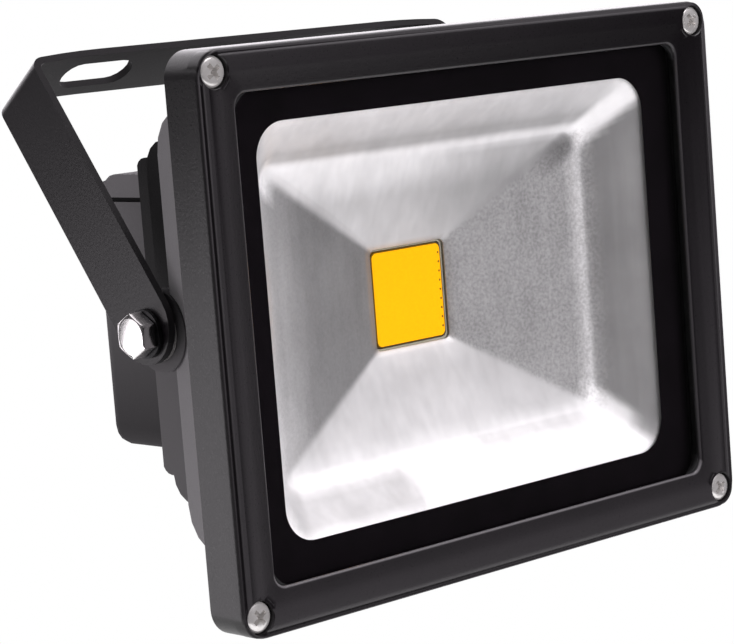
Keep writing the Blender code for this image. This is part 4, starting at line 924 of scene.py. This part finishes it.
def make_bolts(mats):
    """Hexagon-head bolts: forged head with a chamfered crown, on each side of the yoke."""
    for side, body in ((-1, "bolt_left"), (1, "bolt_right")):
        node = "pivot_" + body
        low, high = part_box(node)
        outer = (low.x if side < 0 else high.x) / MM
        radius = BOLT_ACROSS_FLATS / 2 / math.cos(math.pi / 6)
        crown = spin("crown", (
            (0, 0.0), (4.45, 0.0), (4.7, -0.03), (radius, -0.3), (radius + 0.2, -0.4),
            (radius + 0.2, 0.1 - BOLT_HEAD), (4.9, -BOLT_HEAD), (3.0, -BOLT_HEAD), (3.0, -19.6), (2.5, -20.2),
            (2.5, -BOLT_LENGTH), (0, -BOLT_LENGTH),
        ), mats["bolt_plate"], 60)
        bm = bmesh.new()
        bmesh.ops.create_cone(bm, cap_ends=True, segments=6, radius1=radius * MM, radius2=radius * MM,
                              depth=30 * MM, matrix=Matrix.Translation((0, 0, -12 * MM)))
        flats = finish_mesh("flats", bm, mats["bolt_plate"])
        boolean(crown, flats, "INTERSECT")
        crown.name = f"hex_bolt_{'left' if side < 0 else 'right'}"
        outwards = Matrix.Rotation(math.pi / 2 * side, 4, "Y")
        quarter = Matrix.Rotation(math.pi / 2, 4, "Z")
        moved(crown, Matrix.Translation((outer * MM, PIVOT.y * MM, PIVOT.z * MM)) @ outwards @ quarter)
        rounding = crown.modifiers.new("rounding", "BEVEL")
        rounding.width = 0.12 * MM
        rounding.segments = 2
        rounding.angle_limit = math.radians(30)
        baked(crown)
        shade(crown.data, 25.0)
        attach(crown, body)
        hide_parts(node)


def mark(mesh, rule):
    """Give every face its shares of dark dullness with painted shade and of paleness with painted light, from
    a rule on its place and normal.
    """
    for name in ("dull_dark_and_painted_shade", "pale_and_painted_light"):
        mesh.attributes.new(name, "FLOAT", "FACE")
    for number, face in enumerate(mesh.polygons):
        shares = rule(face.center / MM, face.normal)
        for name, share in zip(("dull_dark_and_painted_shade", "pale_and_painted_light"), shares):
            mesh.attributes[name].data[number].value = share


def housing_light_and_shade(centre, normal):
    """Painted shade, dull, between the fins and on the pivot bosses; painted reflection on the first tier's
    flanks, brightest as a painted highlight on their rounded rim.
    """
    place = centre - HEAD_ORIGIN
    out = abs(place.x)
    if place.y > FINS_FRONT and out < FINS_HALF_WIDTH:
        return 0.72, 0.0
    if out > FINS_HALF_WIDTH and math.hypot(place.y - PIVOT_DEPTH, place.z) < PIVOT_BOSS_REACH:
        return 0.9, 0.0
    if out > FIRST_TIER_FLANK and FIRST_TIER[0] < place.y < FIRST_TIER[1] and abs(normal.x) > 0.3:
        return 0.0, 1.0 if abs(normal.x) < 0.97 else 0.5
    return 0.0, 0.0


def strap_painted_shade(centre, normal):
    """Painted shade, dull, on the strap's cut edges and round its slots, and a lighter painted shade on the
    plate's inner face.
    """
    edge = abs(normal.dot(Vector((0, math.cos(LEAN), -math.sin(LEAN))))) > 0.5
    inner = normal.dot(Vector((0, math.sin(LEAN), math.cos(LEAN)))) < -0.9
    return (0.8 if edge or (abs(normal.x) > 0.3 and abs(centre.x) < 68.0) else 0.35 * inner), 0.0


def in_seam(centre):
    """Whether a face of the cover lies in the seam under its top corners."""
    drop = COVER_HALF[1] - COVER_CORNER - (centre.z - HEAD_ORIGIN.z)
    return 0.0 < drop < SEAM_WIDTH and abs(centre.x) > COVER_HALF[0] - 1.0


def cover_coat(centre, _normal):
    """The cover is a paler, duller black than the housing; its seam is dark."""
    return 1.0, 0.0 if in_seam(centre) else 0.39


def reshape_cover(bm):
    """Turn the cover's two upper rounded corners into chamfers."""
    for vert in bm.verts:
        place = vert.co / MM - HEAD_ORIGIN
        reach = [abs(place[axis]) - COVER_HALF[number] + COVER_CORNER for number, axis in enumerate((0, 2))]
        if place.z > 0 and min(reach) > 0 and sum(reach) > COVER_CORNER:
            for axis, value in zip((0, 2), reach):
                excess = value * (1 - COVER_CORNER / sum(reach)) * MM
                vert.co[axis] -= math.copysign(excess, place[axis])


def cut_seam(bm):
    """Cut a fine groove along each side, just under its chamfer."""
    for drop in (0.02, SEAM_WIDTH):
        sides = [f for f in bm.faces if abs(f.normal.x) > 0.99
                 and abs(f.calc_center_median().x) / MM > COVER_HALF[0] - 0.1]
        geom = sides + list({e for f in sides for e in f.edges}) + list({v for f in sides for v in f.verts})
        level = HEAD_ORIGIN.z + COVER_HALF[1] - COVER_CORNER - drop
        plane = (0, 0, level * MM)
        bmesh.ops.bisect_plane(bm, geom=geom, dist=0.001 * MM, plane_co=plane, plane_no=(0, 0, 1))
    strips = [f for f in bm.faces if abs(f.normal.x) > 0.99 and in_seam(f.calc_center_median() / MM)]
    pushed = bmesh.ops.extrude_face_region(bm, geom=strips)["geom"]
    bmesh.ops.delete(bm, geom=strips, context="FACES_ONLY")
    for vert in pushed:
        if isinstance(vert, bmesh.types.BMVert):
            vert.co.x -= math.copysign(SEAM_DEPTH * MM, vert.co.x)


def make_castings(mats):
    """The housing, cover and strap keep their shape, with edges rounded as they leave the tool."""
    cover_shapers = (reshape_cover, cut_seam)
    for name, node, slot, body, coat, width, rule, shapers in (
            ("finned_housing", "rear_housing", "cast_black", "head", "fins", 0.35, housing_light_and_shade, ()),
            ("driver_cover", "rear_cover", "cast_black", "head", "cover", 0.3, cover_coat, cover_shapers),
            ("yoke_strap", "mounting_yoke", "steel_black", "yoke", "steel_black", 0.25, strap_painted_shade, ())):
        piece = softened(name, node, mats[coat], width, *shapers)
        mark(piece.data, rule)
        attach(piece, body)
        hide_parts(node)


def make_gland_cap(mats):
    """The gland's dome nut: moulded, with grip ribs round its skirt."""
    low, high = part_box("gland_cap")
    top = Matrix.Translation(((low.x + high.x) / 2, (low.y + high.y) / 2, high.z))
    rib_height = 0.7
    radius = (high.x - low.x) / 2 / MM - rib_height
    length = (high.z - low.z) / MM
    bore, mouth, skirt = 6.3, 3.8, 0.62
    profile = [(bore, 0.0), (radius - 0.3, 0.0), (radius, -0.4), (radius, -length * skirt)]
    for i in range(1, 7):
        angle = math.radians(90 * i / 6)
        width = mouth + 0.1 + (radius - mouth - 0.1) * math.cos(angle) ** 0.8
        profile.append((width, -length * (skirt + (1 - skirt) * math.sin(angle))))
    profile += [(mouth, -length + 0.3), (mouth, -length + 1.2), (bore, -length + 1.6), (bore, 0.0)]
    cap = spin("gland_dome_nut", profile, mats["nylon_black"])
    moved(cap, top)
    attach(cap, "head")
    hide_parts("gland_cap")
    make_grip_ribs(mats, radius, length, top)


def make_grip_ribs(mats, radius, length, top):
    """Twelve ribs round the dome nut, wider at their feet."""
    foot_width, crest_width, share_of_length = 1.6, 1.0, 0.56
    bm = bmesh.new()
    bmesh.ops.create_cube(bm, size=1.0)
    for vert in bm.verts:
        outer = vert.co.x > 0
        x = radius + (0.6 if outer else -0.4)
        y = vert.co.y * (crest_width if outer else foot_width)
        z = (vert.co.z - 0.5) * length * share_of_length - 0.5
        vert.co = Vector((x, y, z)) * MM
    bmesh.ops.bevel(bm, geom=bm.edges[:], offset=0.15 * MM, segments=2, profile=0.5, affect="EDGES")
    rib = finish_mesh("rib", bm, mats["nylon_black"])
    ribs = instances("gland_grip_ribs", rib, around_axis, mats["nylon_black"], {"Count": 12})
    moved(ribs, top)
    shade(ribs.data, 30.0)
    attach(ribs, "head")


def dress_nodes(mats):
    """Every CAD node that stays in view takes the finish of its slot, but the LED's dam takes a darker copy
    of the white silicone, as painted shade.
    """
    slots = {entry["node"]: entry["material_slot"] for entry in frame["record"]["subparts"]}
    for name, obj in NODES.items():
        if not obj.data.materials:
            obj.data.materials.append(mats[slots[name]])
        for slot in obj.material_slots:
            slot.material = mats["dam" if name == "led_dam" else slots[name]]


def make_floor():
    """A pale floor well below the lamp: white to the eye, and it still takes a shadow."""
    mat, tree, shader = new_surface("pale_floor", roughness=0.9)
    set_inputs(shader, {"Base Color": linear("#C4C4C4")})
    rays = add_node(tree, "ShaderNodeLightPath").outputs
    plain = maths(tree, "MAXIMUM", rays["Is Camera Ray"], rays["Is Transmission Ray"])
    strength = maths(tree, "MAXIMUM", plain, maths(tree, "MULTIPLY", rays["Is Glossy Ray"], 0.5))
    glow = add_node(tree, "ShaderNodeEmission", {"Color": (1, 1, 1, 1), "Strength": strength}).outputs[0]
    show(tree, add_node(tree, "ShaderNodeAddShader", {0: shader.outputs["BSDF"], 1: glow}))
    bm = bmesh.new()
    bmesh.ops.create_circle(bm, cap_ends=True, segments=64, radius=1.15)
    floor = moved(add_mesh("studio_floor", bm, mat), Matrix.Translation((0, 0, FLOOR_HEIGHT)))


def make_world():
    """White to the camera; reflections see a white backdrop and ceiling, and a dim studio in front."""
    world = bpy.data.worlds.new("studio")
    world.use_nodes = True
    bpy.context.scene.world = world
    tree = world.node_tree
    tree.nodes.clear()
    rays = add_node(tree, "ShaderNodeLightPath").outputs
    ahead = add_node(tree, "ShaderNodeTexCoord").outputs["Generated"]
    split = add_node(tree, "ShaderNodeSeparateXYZ", {"Vector": ahead}).outputs
    behind = add_node(tree, "ShaderNodeVectorMath", {0: ahead, 1: BACKDROP_FACING}, operation="DOT_PRODUCT")
    ceiling = between(tree, split["Z"], 0.0, 1.0, (0.25, 0.6))
    ceiling = maths(tree, "MULTIPLY", ceiling, between(tree, split["Y"], 0.45, 1.9, (-0.3, 0.4)))
    backdrop = between(tree, behind.outputs["Value"], 0.05, 2.8, (0.48, 0.9))
    mirrored = maths(tree, "MULTIPLY", rays["Is Glossy Ray"], maths(tree, "MAXIMUM", ceiling, backdrop))
    plain = maths(tree, "MAXIMUM", rays["Is Camera Ray"], rays["Is Transmission Ray"])
    soft = maths(tree, "MULTIPLY", rays["Is Diffuse Ray"], 0.35)
    strength = maths(tree, "MAXIMUM", maths(tree, "MAXIMUM", mirrored, plain), soft)
    tint = mix_colour(tree, rays["Is Glossy Ray"], "#FFFFFF", "#FFFAFF")
    back = add_node(tree, "ShaderNodeBackground", {"Color": tint, "Strength": strength})
    add_node(tree, "ShaderNodeOutputWorld", {"Surface": back.outputs["Background"]})


def add_softbox(name, place, target, size, power, shape="RECTANGLE"):
    """An area light of a size in metres and a power in watts, aimed at a target."""
    light = bpy.data.lights.new(name, "AREA")
    light.shape = shape
    light.size, light.size_y = size
    light.energy = power
    light.color = linear("#FFFAFF")[:3]
    obj = add_object(name, light)
    obj.location = place
    obj.rotation_euler = (Vector(target) - Vector(place)).to_track_quat("-Z", "Y").to_euler()
    return obj


def make_lights():
    """A softbox above, a small one low at the left, and a broad fill that mirrors don't show."""
    centre = HEAD_ORIGIN * MM
    add_softbox("overhead_softbox", (0.25, -0.45, 0.75), centre, (0.8, 0.6), 5.0)
    add_softbox("left_softbox", (-0.56, 0.36, -0.26), (-0.08, -0.07, -0.1), (0.46, 0.42), 1.0, "ELLIPSE")
    fill = add_softbox("front_fill", (0.12, -1.3, 0.16), centre, (0.9, 0.7), 14.8)
    fill.visible_glossy = False


def make_camera():
    """The photograph's viewpoint: from the left and a little above, through a long lens."""
    camera = bpy.data.cameras.new("photo_camera")
    camera.sensor_width = SENSOR_WIDTH
    width, height = IMAGE_SIZE
    camera.lens = SENSOR_WIDTH * FOCAL_PIXELS / width
    camera.shift_x = (width / 2 - CENTRE_PIXEL[0]) / width
    camera.shift_y = (CENTRE_PIXEL[1] - height / 2) / width
    camera.clip_start = 0.01
    camera.clip_end = 100.0
    obj = add_object("photo_camera", camera)
    heading = Matrix.Rotation(math.radians(-VIEW_AZIMUTH), 4, "Z")
    tilt = Matrix.Rotation(math.radians(90.0 - VIEW_DOWNWARDS), 4, "X")
    roll = Matrix.Rotation(math.radians(VIEW_ROLL), 4, "Z")
    place = (HEAD_ORIGIN + Vector(VIEW_PLACE)) * MM
    obj.matrix_world = Matrix.Translation(place) @ heading @ tilt @ roll
    bpy.context.scene.camera = obj


def main():
    """Build the materials, the studio and the finished pieces."""
    bpy.context.scene.view_settings.view_transform = "Standard"
    mats = make_materials()
    make_camera()
    make_world()
    make_lights()
    make_floor()
    dress_nodes(mats)
    make_bezel(mats)
    make_screws(mats)
    make_printed_border(mats)
    make_reflector(mats)
    make_emitter(mats)
    make_bolts(mats)
    make_castings(mats)
    make_gland_cap(mats)


main()
